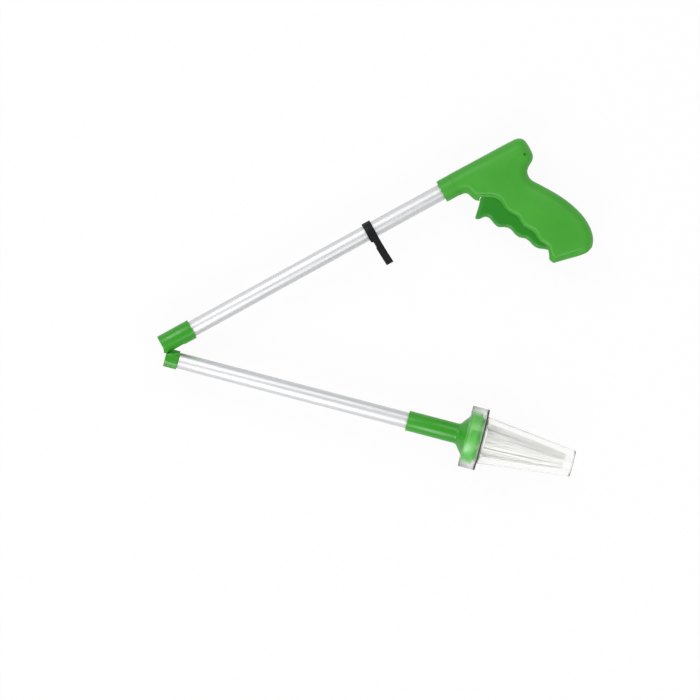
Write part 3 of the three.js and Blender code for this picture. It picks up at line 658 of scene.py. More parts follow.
@dataclass(frozen=True)
class MouldedPlastic(Finish):
    """ABS, injection moulded: even colour, a fine spark-eroded grain and a painted highlight, a
    paler colour, along rims.
    """

    smoother: float = 0.05
    rougher: float = 0.07
    colour: str = "#43A62B"
    deep: str = "#389C22"
    # paler colour painted along rims as a highlight, where the rim attribute is set
    rubbed: str = "#66C24E"
    highlight_share: Point = (0.35, 0.65)  # how much of the painted highlight colour shows on a rim
    gloss: float = 0.38  # the grain breaks up some of the reflection
    grain: float = 0.7  # the real grain is about 0.1 mm, drawn coarser so that it shows
    flow: float = 45.0  # size of the soft changes of tone along the mould's flow
    depth: float = 0.012

    def material(self) -> Material:
        """Makes the finish.

        Returns:
            The material.
        """
        material, tree, shader, where = self.begin()
        flow = {"Vector": where, "Scale": per(self.flow), "Detail": 2.0}
        tone = add(tree, "TexNoise", flow).outputs["Fac"]
        pits = {"Vector": where, "Scale": per(self.grain), "Detail": 3.0}
        grain = add(tree, "TexNoise", pits).outputs["Fac"]
        body = self.mix(tree, self.spread(tree, tone, 0.0, 1.0), self.deep, self.colour)
        # painted highlight: the rim attribute lays the paler colour along edges, broken up by the
        # grain
        rim = add(tree, "Attribute", attribute_name="rim").outputs["Fac"]
        highlight_share = {0: rim, 1: self.spread(tree, grain, *self.highlight_share)}
        share = add(tree, "Math", highlight_share, operation="MULTIPLY").outputs[0]
        edge = {0: share, 6: body, 7: linear(self.rubbed)}
        feed(shader, {
            "Base Color": add(tree, "Mix", edge, data_type="RGBA").outputs[2],
            "Specular IOR Level": self.gloss,
            "Roughness": self.rough(tree, grain),
            "Normal": self.raised(tree, grain, self.depth),
        })
        return material


@dataclass(frozen=True)
class DrawnAluminium(Finish):
    """Bright drawn aluminium: a soft sheen with fine lengthwise lines from the die."""

    smoother: float = 0.03
    rougher: float = 0.05
    turn: float = 0.0
    colour: str = "#E2E2E4"
    line: str = "#D7D8DA"
    spacing: float = 0.55  # real die lines are finer, drawn coarser so that they show
    length: float = 90.0
    cloud: float = 30.0  # size of the duller patches
    depth: float = 0.002

    def material(self) -> Material:
        """Makes the finish.

        Returns:
            The material.
        """
        material, tree, shader, where = self.begin()
        along = add(tree, "Mapping", {"Vector": where, "Rotation": (0.0, 0.0, -self.turn)})
        scale = (per(self.length), per(self.spacing), per(self.spacing))
        lines = add(tree, "Mapping", {"Vector": along.outputs[0], "Scale": scale}).outputs[0]
        drawn = add(tree, "TexNoise", {"Vector": lines, "Scale": 1.0, "Detail": 3.0}).outputs["Fac"]
        patches = {"Vector": where, "Scale": per(self.cloud), "Detail": 2.0}
        cloud = add(tree, "TexNoise", patches).outputs["Fac"]
        share = self.spread(tree, drawn, 0.0, 1.0)
        feed(shader, {
            "Base Color": self.mix(tree, share, self.line, self.colour),
            "Roughness": self.rough(tree, cloud),
            "Normal": self.raised(tree, drawn, self.depth),
        })
        return material


@dataclass(frozen=True)
class WovenStrap(Finish):
    """Black nylon hook-and-loop tape: ribbed weave with short loops that catch a dull sheen."""

    rougher: float = 0.15
    # the darker colour lies in the weave's dips as painted shade between the threads
    colour: str = "#060607"
    thread: str = "#151517"
    patch: float = 6.0  # size of the smoother, shinier patches
    spacing: float = 0.28125  # of the threads
    waver: float = 1.2  # how unevenly they run
    loop: float = 0.5  # size of the loops
    lit: Point = (0.4, 1.3)  # heights of the weave from the darker colour in its dips, painted shade between the threads, to the thread's full tone
    highlight_share: Point = (0.4, 0.6)  # where a patch starts to shine and where it shines most
    sheen: Point = (0.03, 0.5)  # its weight and its roughness
    depth: float = 0.02

    def material(self) -> Material:
        """Makes the finish.

        Returns:
            The material.
        """
        material, tree, shader, where = self.begin()
        cloth = add(tree, "UVMap", uv_map="cloth").outputs[0]
        threads = []
        for direction in ("X", "Y"):
            bands = {"Vector": cloth, "Scale": 2 * math.pi / (20 * self.spacing),
                     "Distortion": self.waver, "Detail": 1.0, "Detail Scale": 2.0}
            threads.append(add(tree, "TexWave", bands, bands_direction=direction).outputs["Fac"])
        weave = add(tree, "Math", dict(enumerate(threads)), operation="MULTIPLY").outputs[0]
        loops = {"Vector": where, "Scale": per(self.loop), "Detail": 4.0}
        fuzz = add(tree, "TexNoise", loops).outputs["Fac"]
        height = add(tree, "Math", {0: weave, 1: fuzz}, operation="ADD").outputs[0]
        # painted shade: the weave's dips take the darker colour
        share = self.spread(tree, height, 0.0, 1.0, *self.lit)
        patches = {"Vector": where, "Scale": per(self.patch), "Detail": 1.0}
        rubbed = add(tree, "TexNoise", patches).outputs["Fac"]
        dull = self.roughness + self.rougher
        feed(shader, {
            "Base Color": self.mix(tree, share, self.colour, self.thread),
            "Normal": self.raised(tree, height, self.depth),
            "Roughness": self.spread(tree, rubbed, dull, self.roughness, *self.highlight_share),
            "Sheen Weight": self.sheen[0],
            "Sheen Roughness": self.sheen[1],
        })
        return material


@dataclass(frozen=True)
class ClearMoulding(Finish):
    """Clear polystyrene: thin, glassy walls that let the lamps through, with faint haze."""

    rougher: float = 0.04
    colour: str = "#FEFEFD"
    shade: str = "#FCFCFB"  # what is left of a lamp's light behind one surface
    haze: float = 18.0
    matt: float = 0.16  # roughness of the parts with a matt grain

    def material(self) -> Material:
        """Makes the finish.

        Returns:
            The material.
        """
        material, tree, shader, where = self.begin()
        clouds = {"Vector": where, "Scale": per(self.haze), "Detail": 3.0}
        gloss = self.rough(tree, add(tree, "TexNoise", clouds).outputs["Fac"])
        matt = add(tree, "Attribute", attribute_name="matt").outputs["Fac"]
        grain = {0: matt, 1: self.matt, 2: gloss}
        feed(shader, {
            "Base Color": linear(self.colour),
            "Transmission Weight": 1.0,
            "Roughness": add(tree, "Math", grain, operation="MULTIPLY_ADD").outputs[0],
        })
        lamps = add(tree, "LightPath").outputs["Is Shadow Ray"]
        clear = add(tree, "BsdfTransparent", {"Color": linear(self.shade)}).outputs[0]
        through = add(tree, "MixShader", {0: lamps, 1: shader.outputs[0], 2: clear}).outputs[0]
        feed(tree.nodes["Material Output"], {"Surface": through})
        return material


@dataclass(frozen=True)
class Filament(Finish):
    """Drawn nylon filament or braid: milky, a little see-through, its tone different by strand."""

    rougher: float = 0.1
    colour: str = "#FAFAF9"
    shade: str = "#F0F0EF"
    size: float = 1.2
    milky: float = 0.5  # how much of the light goes into it
    depth: float = 1.5  # and how deep
    tufted: bool = False  # the tone comes from the strand's own attribute

    def material(self) -> Material:
        """Makes the finish.

        Returns:
            The material.
        """
        material, tree, shader, where = self.begin()
        mottle = {"Vector": where, "Scale": per(self.size), "Detail": 2.0}
        tone = add(tree, "TexNoise", mottle).outputs["Fac"]
        share = self.spread(tree, tone, 0.0, 1.0)
        if self.tufted:
            share = add(tree, "Attribute", attribute_name="tone").outputs["Fac"]
        feed(shader, {
            "Base Color": self.mix(tree, share, self.shade, self.colour),
            "Roughness": self.rough(tree, tone),
            "Subsurface Weight": self.milky,
            "Subsurface Radius": (1.0, 1.0, 1.0),
            "Subsurface Scale": self.depth * MM,
        })
        return material


@dataclass(frozen=True)
class PlatedSteel(Finish):
    """Zinc-plated steel: grey metal with a cloudy bloom and fine scratches."""

    rougher: float = 0.12
    colour: str = "#B9BCC0"
    bloom: str = "#9CA0A5"
    cloud: float = 1.6

    def material(self) -> Material:
        """Makes the finish.

        Returns:
            The material.
        """
        material, tree, shader, where = self.begin()
        clouds = {"Vector": where, "Scale": per(self.cloud), "Detail": 4.0}
        cloud = add(tree, "TexNoise", clouds).outputs["Fac"]
        share = self.spread(tree, cloud, 0.0, 1.0)
        feed(shader, {
            "Base Color": self.mix(tree, share, self.bloom, self.colour),
            "Roughness": self.rough(tree, cloud),
        })
        return material


class Paints:
    """The part's finishes, made once."""

    def __init__(self) -> None:
        """Makes every material."""
        self.green = MouldedPlastic(
            "abs_green_moulded", roughness=0.25, ior=1.53,
            colour="#35A11C", deep="#2B9713", gloss=0.44,
        ).material()
        self.grip = MouldedPlastic("abs_green_satin", roughness=0.44, ior=1.53).material()
        # the trigger's green is darker than the grip's: painted shade of its recess between the
        # halves
        self.trigger = MouldedPlastic(
            "abs_green_trigger_painted_shade", roughness=0.34, ior=1.53,
            colour="#218A14", deep="#1B820F", rubbed="#55B643",
        ).material()
        self.grey = MouldedPlastic(
            "acetal_grey_moulded", roughness=0.45, ior=1.48,
            colour="#989C99", deep="#8A8E8B", rubbed="#B0B3B1",
        ).material()
        self.natural = MouldedPlastic(
            "acetal_natural_moulded", roughness=0.4, ior=1.48,
            colour="#ECEDE9", deep="#E2E3DF", rubbed="#F4F4F1",
        ).material()
        # a dark ring painted on the clear collar's front, where its edge looks dark
        self.dark_edge = MouldedPlastic(
            "painted_dark_edge", roughness=0.5, ior=1.52,
            colour="#3C403A", deep="#333731", rubbed="#484C46",
        ).material()
        self.upper_tube, self.lower_tube = (
            DrawnAluminium(f"aluminium_drawn_{side}", 0.46, metallic=1.0, turn=arm.turn).material()
            for side, arm in (("upper", UPPER), ("lower", LOWER))
        )
        self.steel = PlatedSteel("steel_zinc_plated", 0.3, metallic=1.0).material()
        self.strap = WovenStrap("nylon_tape_woven", 0.36, ior=1.3).material()
        self.clear = ClearMoulding("polystyrene_clear", 0.03, ior=1.45).material()
        self.bristle = Filament("nylon_filament_drawn", 0.4, ior=1.53, tufted=True).material()
        self.cord = Filament(
            "nylon_cord_braided", 0.6, ior=1.53, colour="#E9E9E4", shade="#CBCBC6", size=0.5,
        ).material()


@dataclass
class Handle:
    """The two moulded halves of the pistol grip, with the raised panel on each cheek."""

    half: float = 15.0  # half the thickness at the grip
    nose_half: float = 10.8
    body_start: float = 12.3
    taper_end: float = 50.0
    crown: float = 2.6
    crown_reach: float = 25.0
    ledge: float = 1.9  # the rim in front of the panel lies this much lower
    ledge_round: float = 1.9
    ledge_fade: float = 9.0
    foot_fade: float = 0.6  # it fades over a longer way at the foot
    bead: Point = (0.7, 0.8)  # how far in the painted highlight along the panel's edge lies, and its width
    front_round: float = 2.2
    back_round: float = 9.0
    nose_round: float = 10.0  # the edges are rounder towards the nose
    round_blend: float = 1.6
    foot_round: float = 3.0
    wall: float = 2.4
    collar: Point = (-0.1, 14.3)
    collar_radius: float = 10.0
    collar_edge: float = 0.8
    seat: tuple[Place, Place] = ((0.0, -14.0, -5.0), (26.2, 14.0, 20.0))  # solid round the tube
    bore_end: float = 27.2
    slot_half: float = 9.1
    ribs: int = 250
    rib_bias: float = 1.25  # ribs lie closer towards the foot
    front_zone: float = 8.0  # set with close points, for the panel's edge
    front_most: float = 0.4  # of a rib
    front_steps: int = 20
    back_steps: int = 24
    foot_from: float = 0.86  # of the ribs: from here they bend to the foot's line
    tail_from: float = 0.8  # from here the hollow's end is drawn in
    grip_length: float = 60.0  # middle to foot
    panel_points: int = 400
    screws: tuple[Point, ...] = ((53.0, 2.6), (78.4, -6.4), (86.0, -92.0))
    screw_head: float = 2.7
    screw_edge: float = 0.5
    screw_sunk: float = 1.0
    screw_height: float = 2.6
    shank: Point = (1.2, 20.0)  # its radius, and its length past the head
    recess: Place = (1.6, 0.3, 1.1)  # a screw's cross: half length, half width and depth
    mark_radius: float = 1.1  # the sink over a screw's boss
    mark_depth: float = 1.8
    front: tuple[Point, ...] = (
        (12.3, -10.3), (16.4, -10.7), (19.0, -12.6), (20.4, -16.5), (22.2, -20.6), (26.5, -23.4),
        (33.5, -25.0), (38.2, -28.6), (40.2, -33.5), (40.6, -39.5), (42.6, -44.5), (46.4, -50.4),
        (47.2, -60.2), (52.4, -69.2), (53.2, -78.4), (57.0, -86.4), (55.6, -92.7), (53.8, -97.0),
        (55.6, -101.3),
    )
    back: tuple[Point, ...] = (
        (12.3, 10.1), (44.0, 9.8), (75.0, 9.4), (79.6, 8.9), (83.6, 6.2), (85.0, 2.0), (85.2, -6.0),
        (84.3, -11.0), (81.3, -14.6), (76.8, -17.1), (73.6, -20.4), (72.6, -24.6), (73.2, -28.5),
        (75.9, -33.0), (82.9, -43.7), (91.1, -58.5), (97.1, -76.2), (98.0, -89.9), (95.4, -99.8),
        (91.3, -105.2),
    )
    foot: tuple[Point, ...] = (
        (55.6, -101.3), (63.0, -102.9), (71.7, -104.9), (84.8, -107.2), (91.3, -105.2),
    )
    panel: tuple[Point, ...] = (
        (20.2, -4.6), (22.0, -7.6), (23.4, -12.5), (24.9, -16.3), (28.2, -18.6), (35.6, -22.7),
        (39.9, -26.6), (42.2, -31.9), (42.1, -38.4), (43.0, -42.2), (48.3, -50.2), (49.1, -60.2),
        (54.9, -69.4), (55.0, -78.4), (59.2, -86.3), (57.6, -93.2), (58.0, -97.8), (63.0, -98.9),
        (72.0, -100.7), (84.0, -102.6), (90.0, -101.0),
    )
    # shares of the front edge and of the back edge that a rib joins
    pairs: tuple[Point, ...] = (
        (0.0, 0.0), (0.14, 0.2), (0.26, 0.36), (0.33, 0.43), (0.37, 0.475), (0.41, 0.525),
        (0.46, 0.575), (0.54, 0.645), (0.66, 0.745), (0.82, 0.87), (0.93, 0.95), (1.0, 1.0),
    )
    slot: tuple[Point, ...] = (
        (-5.0, -99.0), (40.0, -99.0), (60.2, -93.0), (66.0, -84.0), (60.0, -17.6), (30.0, -17.6),
        (25.4, -21.6), (24.3, -24.6), (-5.0, -24.6),
    )

    def grid(self, inset: float) -> np.ndarray:
        """Points of a cheek, rib by rib from the nose to the foot.

        Args:
            inset: How far the edges are moved inwards.

        Returns:
            An array of ribs, places across and coordinates.
        """
        share = 1.0 - (1.0 - np.linspace(0.0, 1.0, self.ribs)) ** self.rib_bias
        first, last = rib_ends(self.front, self.back, self.pairs, share)
        reach = np.linalg.norm(last - first, axis=1)[:, None]
        zone = np.minimum(self.front_zone / reach, self.front_most)
        near = np.linspace(0.0, 1.0, self.front_steps, endpoint=False)[None] * zone
        far = np.sin(np.linspace(0.0, math.pi / 2, self.back_steps + 1))[None]
        place = np.hstack([near, zone + (1.0 - zone) * far])
        points = first[:, None] + (last - first)[:, None] * place[:, :, None]
        bow = at_shares(self.foot, place[-1]) - points[-1]
        points += bow[None] * (part(share, self.foot_from, 1.0) ** 2)[:, None, None]
        if inset:
            middle = points.mean(axis=1, keepdims=True)
            points = middle + (points - middle) * (1.0 - 2 * inset / reach)[:, :, None]
            draw = points[len(points) // 2].mean(axis=0) - points[-1].mean(axis=0)
            tail = part(share, self.tail_from, 1.0)[:, None, None]
            points += draw / self.grip_length * inset * tail
        return points

    def heights(self, points: np.ndarray) -> tuple[np.ndarray, np.ndarray]:
        """How high the cheek stands at its points.

        Args:
            points: Points along the handle and across it.

        Returns:
            The heights, and how much of the painted highlight along the panel's edge lies at each
            point.
        """
        gaps = [gap_to(points, line) for line in (self.front, self.back, self.foot)]
        slope = ease(part(points[:, 0], self.body_start, self.taper_end))
        half = self.nose_half + (self.half - self.nose_half) * slope
        blend = np.clip(slope * self.round_blend, 0.0, 1.0)
        rounds = [self.nose_round + (r - self.nose_round) * blend
                  for r in (self.front_round, self.back_round)]
        fall = 1.0 - part(np.minimum.reduce(gaps), 0.0, self.crown_reach)
        height = half - self.crown * slope * fall**2
        height -= np.maximum(drop(gaps[0], rounds[0]), drop(gaps[1], rounds[1]))
        height -= drop(gaps[2], self.foot_round)
        line = run(self.panel, self.panel_points)
        inside, along = nearest(points, line)
        left = lengths(line)[-1] - along
        fade = ease(part(np.minimum(along, left * self.foot_fade), 0.0, self.ledge_fade))
        rise = part(inside, 0.0, self.ledge_round)
        height -= self.ledge * fade * (1.0 - np.sqrt(1.0 - (1.0 - rise) ** 2))
        # painted highlight: a paler band just inside the panel's rounded edge
        rim = fade * np.exp(-((inside - self.bead[0]) / self.bead[1]) ** 2)
        return np.maximum(height, self.wall), rim

    def half_solid(self, name: str, inset: float, lower: float, base: float) -> Piece:
        """One closed half of the grip, or of its hollow.

        Args:
            name: The piece's name.
            inset: How far the edges are moved inwards.
            lower: How far the cheek is lowered.
            base: Height of the parting face.

        Returns:
            The solid, with its cheek upwards.
        """
        points = self.grid(inset)
        height, rim = self.heights(points.reshape(-1, 2))
        height = np.maximum(height - lower, base + OVERLAP)
        piece = cheek(name, points, height, rim, base, closed=True)
        outward(piece)
        return piece

    def shell(self, name: str) -> Piece:
        """One hollow half with its collar, trigger slot and tube bore, cheek upwards.

        Args:
            name: The piece's name.

        Returns:
            The half.
        """
        base = FIT / 2
        piece = self.half_solid(name, 0.0, 0.0, base)
        first, last = self.collar
        radius, edge = self.collar_radius, self.collar_edge
        collar = spun("collar", [
            (first, 0.0), (first, radius - edge), (first + 0.25 * edge, radius - 0.25 * edge),
            (first + edge, radius), (last, radius), (last, 0.0),
        ])
        with editing(collar):
            bpy.ops.mesh.bisect(plane_co=(0.0, 0.0, base), plane_no=(0.0, 0.0, 1.0),
                                use_fill=True, clear_inner=True)
        combine(piece, "UNION", collar)
        hollow = self.half_solid("hollow", self.wall, self.wall, base - 2 * OVERLAP)
        combine(hollow, "DIFFERENCE", block("seat", *self.seat))
        return combine(
            piece, "DIFFERENCE", hollow, prism("slot", self.slot, -OVERLAP, self.slot_half),
            rod("bore", TUBE_RADIUS + FIT, (0.0, self.bore_end)),
        )

    def screw(self, name: str, place: Point) -> Piece:
        """A sunk pan head screw with a cross recess, driven in from the far side.

        Args:
            name: The piece's name.
            place: Its place on the handle.

        Returns:
            The screw.
        """
        top = -self.half + self.screw_sunk
        bottom = top + self.screw_height
        head = rod(name, self.screw_head, (top, bottom), "Z", place)
        soften(head, self.screw_edge)
        radius, length = self.shank
        shank = rod("shank", radius, (top + OVERLAP, bottom + length), "Z", place, SMALL_SIDES)
        combine(head, "UNION", shank)
        x, y = place
        wide, tall, depth = self.recess
        for a, b in ((wide, tall), (tall, wide)):
            arm = block("recess", (x - a, y - b, top - OVERLAP), (x + a, y + b, top + depth))
            combine(head, "DIFFERENCE", arm)
        return head

    def build(self, paints: Paints) -> None:
        """Builds and dresses the grip and its screws.

        Args:
            paints: The part's finishes.
        """
        place = UPPER.matrix(HANDLE_X)
        near = self.shell("handle_near_half")
        far = near.copy()
        far.data = near.data.copy()
        far.name = far.data.name = "handle_far_half"
        bpy.context.scene.collection.objects.link(far)
        far.data.transform(Matrix.Diagonal((1.0, 1.0, -1.0, 1.0)))
        far.data.flip_normals()
        boss = self.screws[1]
        top = float(self.heights(np.array([boss]))[0][0])
        ends = (top - self.mark_depth, top + 2 * OVERLAP)
        combine(near, "DIFFERENCE", rod("mark", self.mark_radius, ends, "Z", boss, SMALL_SIDES))
        outside = -self.half - 2 * OVERLAP
        seat = -self.half + self.screw_sunk + self.screw_height + FIT
        for k, point in enumerate(self.screws):
            sink = rod("sink", self.screw_head + FIT, (outside, seat), "Z", point)
            combine(far, "DIFFERENCE", sink)
            screw = self.screw(f"grip_screw_{k + 1}", point)
            smooth(screw)
            node = f"handle_screw_{k + 1}"
            settle(screw, place, Body.HANDLE.value, Slot.STEEL, paints.steel, node)
        for piece, node in ((near, "handle_shell_near"), (far, "handle_shell_far")):
            smooth(piece, 35.0)
            settle(piece, place, Body.HANDLE.value, Slot.GREEN, paints.grip, node)


@dataclass
class Trigger:
    """The wavy squeeze lever between the halves of the grip."""

    half: float = 8.6
    front_round: float = 3.4
    back_round: float = 1.4
    rim: Place = (0.6, 1.0, 0.8)  # how far in the painted highlight along the front edge lies, its width and its strength
    ribs: int = 170
    across: int = 30
    pivot: Point = (63.0, -94.0)
    pin_radius: float = 1.5
    pin_half: float = 11.4
    pin_edge: float = 0.3
    front: tuple[Point, ...] = (
        (26.4, -21.4), (25.2, -23.0), (21.2, -27.4), (16.4, -32.0), (14.4, -34.6), (17.2, -36.6),
        (22.4, -37.2), (25.4, -40.4), (26.4, -45.8), (28.4, -50.6), (33.6, -53.6), (36.8, -57.4),
        (38.0, -62.8), (40.3, -67.4), (44.0, -70.6), (46.0, -74.4), (47.4, -79.8), (50.2, -83.8),
        (55.0, -87.4), (59.2, -92.0), (59.4, -95.8), (61.2, -97.6),
    )
    back: tuple[Point, ...] = (
        (31.0, -20.6), (37.0, -21.2), (44.0, -22.4), (50.0, -27.5), (52.4, -38.0), (54.0, -50.0),
        (57.5, -64.0), (63.0, -80.0), (66.6, -91.0), (67.0, -95.0), (64.8, -97.6),
    )
    pairs: tuple[Point, ...] = (
        (0.0, 0.0), (0.06, 0.06), (0.12, 0.14), (0.17, 0.2), (0.2, 0.24), (0.26, 0.28),
        (0.32, 0.33), (0.5, 0.52), (0.75, 0.76), (0.92, 0.92), (1.0, 1.0),
    )

    def build(self, paints: Paints) -> None:
        """Builds and dresses the trigger and its pin.

        Args:
            paints: The part's finishes.
        """
        share = np.linspace(0.0, 1.0, self.ribs)
        first, last = rib_ends(self.front, self.back, self.pairs, share)
        place = (1.0 - np.cos(np.linspace(0.0, math.pi, self.across + 1))) / 2
        points = first[:, None] + (last - first)[:, None] * place[None, :, None]
        front, back = (gap_to(points.reshape(-1, 2), line) for line in (self.front, self.back))
        fall = np.maximum(drop(front, self.front_round), drop(back, self.back_round))
        inside, width, strength = self.rim
        # painted highlight along the finger waves' front edge
        rim = np.exp(-((front - inside) / width) ** 2) * strength
        piece = cheek("squeeze_trigger", points, self.half - fall, rim, 0.0)
        apply(piece, "MIRROR", use_axis=(False, False, True), use_mirror_merge=True,
              merge_threshold=MERGE)
        outward(piece)
        through = (-self.half - OVERLAP, self.half + OVERLAP)
        combine(piece, "DIFFERENCE", rod("eye", self.pin_radius + FIT, through, "Z", self.pivot))
        smooth(piece, 35.0)
        at = UPPER.matrix(HANDLE_X)
        settle(piece, at, Body.TRIGGER.value, Slot.TRIGGER, paints.trigger, "trigger")
        ends = (-self.pin_half, self.pin_half)
        pin = rod("trigger_axle", self.pin_radius, ends, "Z", self.pivot)
        soften(pin, self.pin_edge)
        smooth(pin)
        settle(pin, at, Body.HANDLE.value, Slot.STEEL, paints.steel, "trigger_pin")


@dataclass
class FoldHinge:
    """The socket on the upper tube and the cap in the lower one, joined on two stub pins."""

    socket_radius: float = 8.8
    socket_length: float = 29.0
    socket_seat: float = 18.0
    socket_edge: float = 0.45
    cap_radius: float = 8.2
    cap_length: float = 12.6
    cap_edge: float = 0.4
    spigot_length: float = 19.4
    tube_wall: float = 1.0
    socket_face: float = -0.85  # its end reaches past the pivot by this much
    cap_face: float = 1.1
    knuckle: float = 2.4
    flush: float = 1.35  # the ears and the tongue are cut off this far past the pivot
    tongue_half: float = 3.0
    ear_half: float = 6.8
    slot_half: float = 3.5
    slot: Point = (-6.0, 17.0)  # along the socket
    slot_above: float = 3.0  # how far past the pivot's line it is open
    pin_radius: float = 0.8
    pin_play: float = 0.1
    pin_end: float = 0.05  # between a pin and its ear's skin
    pin_edge: float = 0.25
    cord_half: float = 1.3
    socket_way: Point = (5.0, 19.0)  # the cord's way along the socket
    cap_way: float = 13.0  # and past the cap's end
    running: float = 0.5
    flank_drop: float = 2.9
    flank_slope: float = math.radians(21.0)  # between the arms when folded up
    skin: float = 0.6  # the ears' outer skin over the pins
    cutter: float = 12.0  # half the size of a block that cuts an end off

    def end_cutter(self, y: float) -> Piece:
        """A block that cuts off what stands past the pivot, round a height across the arm."""
        big = self.cutter
        return block("flush", (-big, y - big, -big), (-self.flush, y + big, big))

    def socket(self) -> Piece:
        """The upper half, with its two ears.

        Returns:
            The piece, in the upper arm's frame.
        """
        down = -HINGE_OFFSET
        radius, thin = self.socket_radius, self.cord_half
        ends = (self.socket_face, self.socket_length)
        piece = rod("fold_socket", radius, ends, sides=ROUND_STEPS)
        with editing(piece, selected=False) as mesh:
            for face in mesh.faces:
                face.select_set(face.normal.x > 0.9)
            bpy.ops.mesh.inset(thickness=radius - TUBE_RADIUS - FIT)
            depth = self.socket_seat - self.socket_length
            bpy.ops.mesh.extrude_region_move(TRANSFORM_OT_translate={"value": (depth, 0.0, 0.0)})
        ears = rod("ears", self.knuckle, (-self.ear_half, self.ear_half), "Z", (0.0, down))
        combine(piece, "UNION", ears)
        half = self.slot_half
        inside = self.ear_half - self.skin
        combine(
            piece, "DIFFERENCE", self.end_cutter(down),
            rod("gap", self.knuckle + self.running, (-half, half), "Z", (0.0, down)),
            block("slot", (self.slot[0], down - radius, -half),
                  (self.slot[1], down + self.slot_above, half)),
            block("cord_way", (self.socket_way[0], down, -thin), (self.socket_way[1], thin, thin)),
            rod("eye", self.pin_radius + self.pin_play, (-inside, inside), "Z", (0.0, down),
                PIN_SIDES),
        )
        soften(piece, self.socket_edge)
        return piece

    def cap(self) -> Piece:
        """The lower half, with its tongue and the spigot in the tube.

        Returns:
            The piece, in the lower arm's frame.
        """
        up = HINGE_OFFSET
        end, thin = self.cap_length, self.cord_half
        far = self.cap_radius + 2 * OVERLAP
        piece = rod("fold_cap", self.cap_radius, (self.cap_face, end), sides=ROUND_STEPS)
        spigot_end = end + self.spigot_length
        spigot = rod("spigot", TUBE_RADIUS - self.tube_wall - FIT, (end - OVERLAP, spigot_end))
        half = self.tongue_half
        tongue = rod("tongue", self.knuckle, (-half, half), "Z", (0.0, up))
        combine(piece, "UNION", spigot, tongue)
        for sign in (1, -1):
            low, high = sorted((sign * half, sign * far))
            flank = block("flank", (-far, -self.flank_drop, low), (2 * end, far, high))
            flank.rotation_euler.z = self.flank_slope
            flank.location.y = up
            turn = rod("round", self.knuckle + self.running, (low, high), "Z", (0.0, up))
            combine(piece, "DIFFERENCE", flank, turn)
        combine(
            piece, "DIFFERENCE", self.end_cutter(up),
            block("cord_way", (-far, -thin, -thin), (end + self.cap_way, far, thin)),
            rod("cord_bore", thin, (end, spigot_end + OVERLAP), sides=SMALL_SIDES),
            rod("eye", self.pin_radius + self.pin_play, (-far, far), "Z", (0.0, up), PIN_SIDES),
        )
        soften(piece, self.cap_edge)
        return piece

    def build(self, paints: Paints) -> None:
        """Builds and dresses both halves and the pins.

        Args:
            paints: The part's finishes.
        """
        socket, cap = self.socket(), self.cap()
        for piece, arm, body, node in (
            (socket, UPPER, Body.HANDLE, "hinge_socket"), (cap, LOWER, Body.LOWER, "hinge_cap"),
        ):
            smooth(piece, 30.0)
            settle(piece, arm.matrix(), body.value, Slot.GREEN, paints.green, node)
        inner, outer = self.cord_half + FIT, self.ear_half - self.skin - self.pin_end
        for side, sign in (("near", 1), ("far", -1)):
            ends = sorted((sign * inner, sign * outer))
            at = (0.0, -HINGE_OFFSET)
            pin = rod(f"fold_pin_{side}", self.pin_radius, ends, "Z", at, PIN_SIDES)
            soften(pin, self.pin_edge)
            smooth(pin)
            node = f"hinge_pin_{side}"
            settle(pin, UPPER.matrix(), Body.HANDLE.value, Slot.STEEL, paints.steel, node)


@dataclass
class Tubes:
    """The two drawn tubes."""

    wall: float = 1.0
    upper: Point = (18.3, HANDLE_X + 24.0)
    lower: Point = (12.9, 257.3)
    edge: float = 0.25

    def build(self, paints: Paints) -> None:
        """Builds and dresses both tubes.

        Args:
            paints: The part's finishes.
        """
        outer, bore = TUBE_RADIUS, TUBE_RADIUS - self.wall
        for name, (first, last), arm, body, paint in (
            ("upper_tube", self.upper, UPPER, Body.HANDLE, paints.upper_tube),
            ("lower_tube", self.lower, LOWER, Body.LOWER, paints.lower_tube),
        ):
            section = [(first, bore), (first, outer), (last, outer), (last, bore)]
            tube = spun(f"drawn_{name}", section)
            soften(tube, self.edge, 2)
            smooth(tube)
            settle(tube, arm.matrix(), body.value, Slot.TUBE, paint, name)


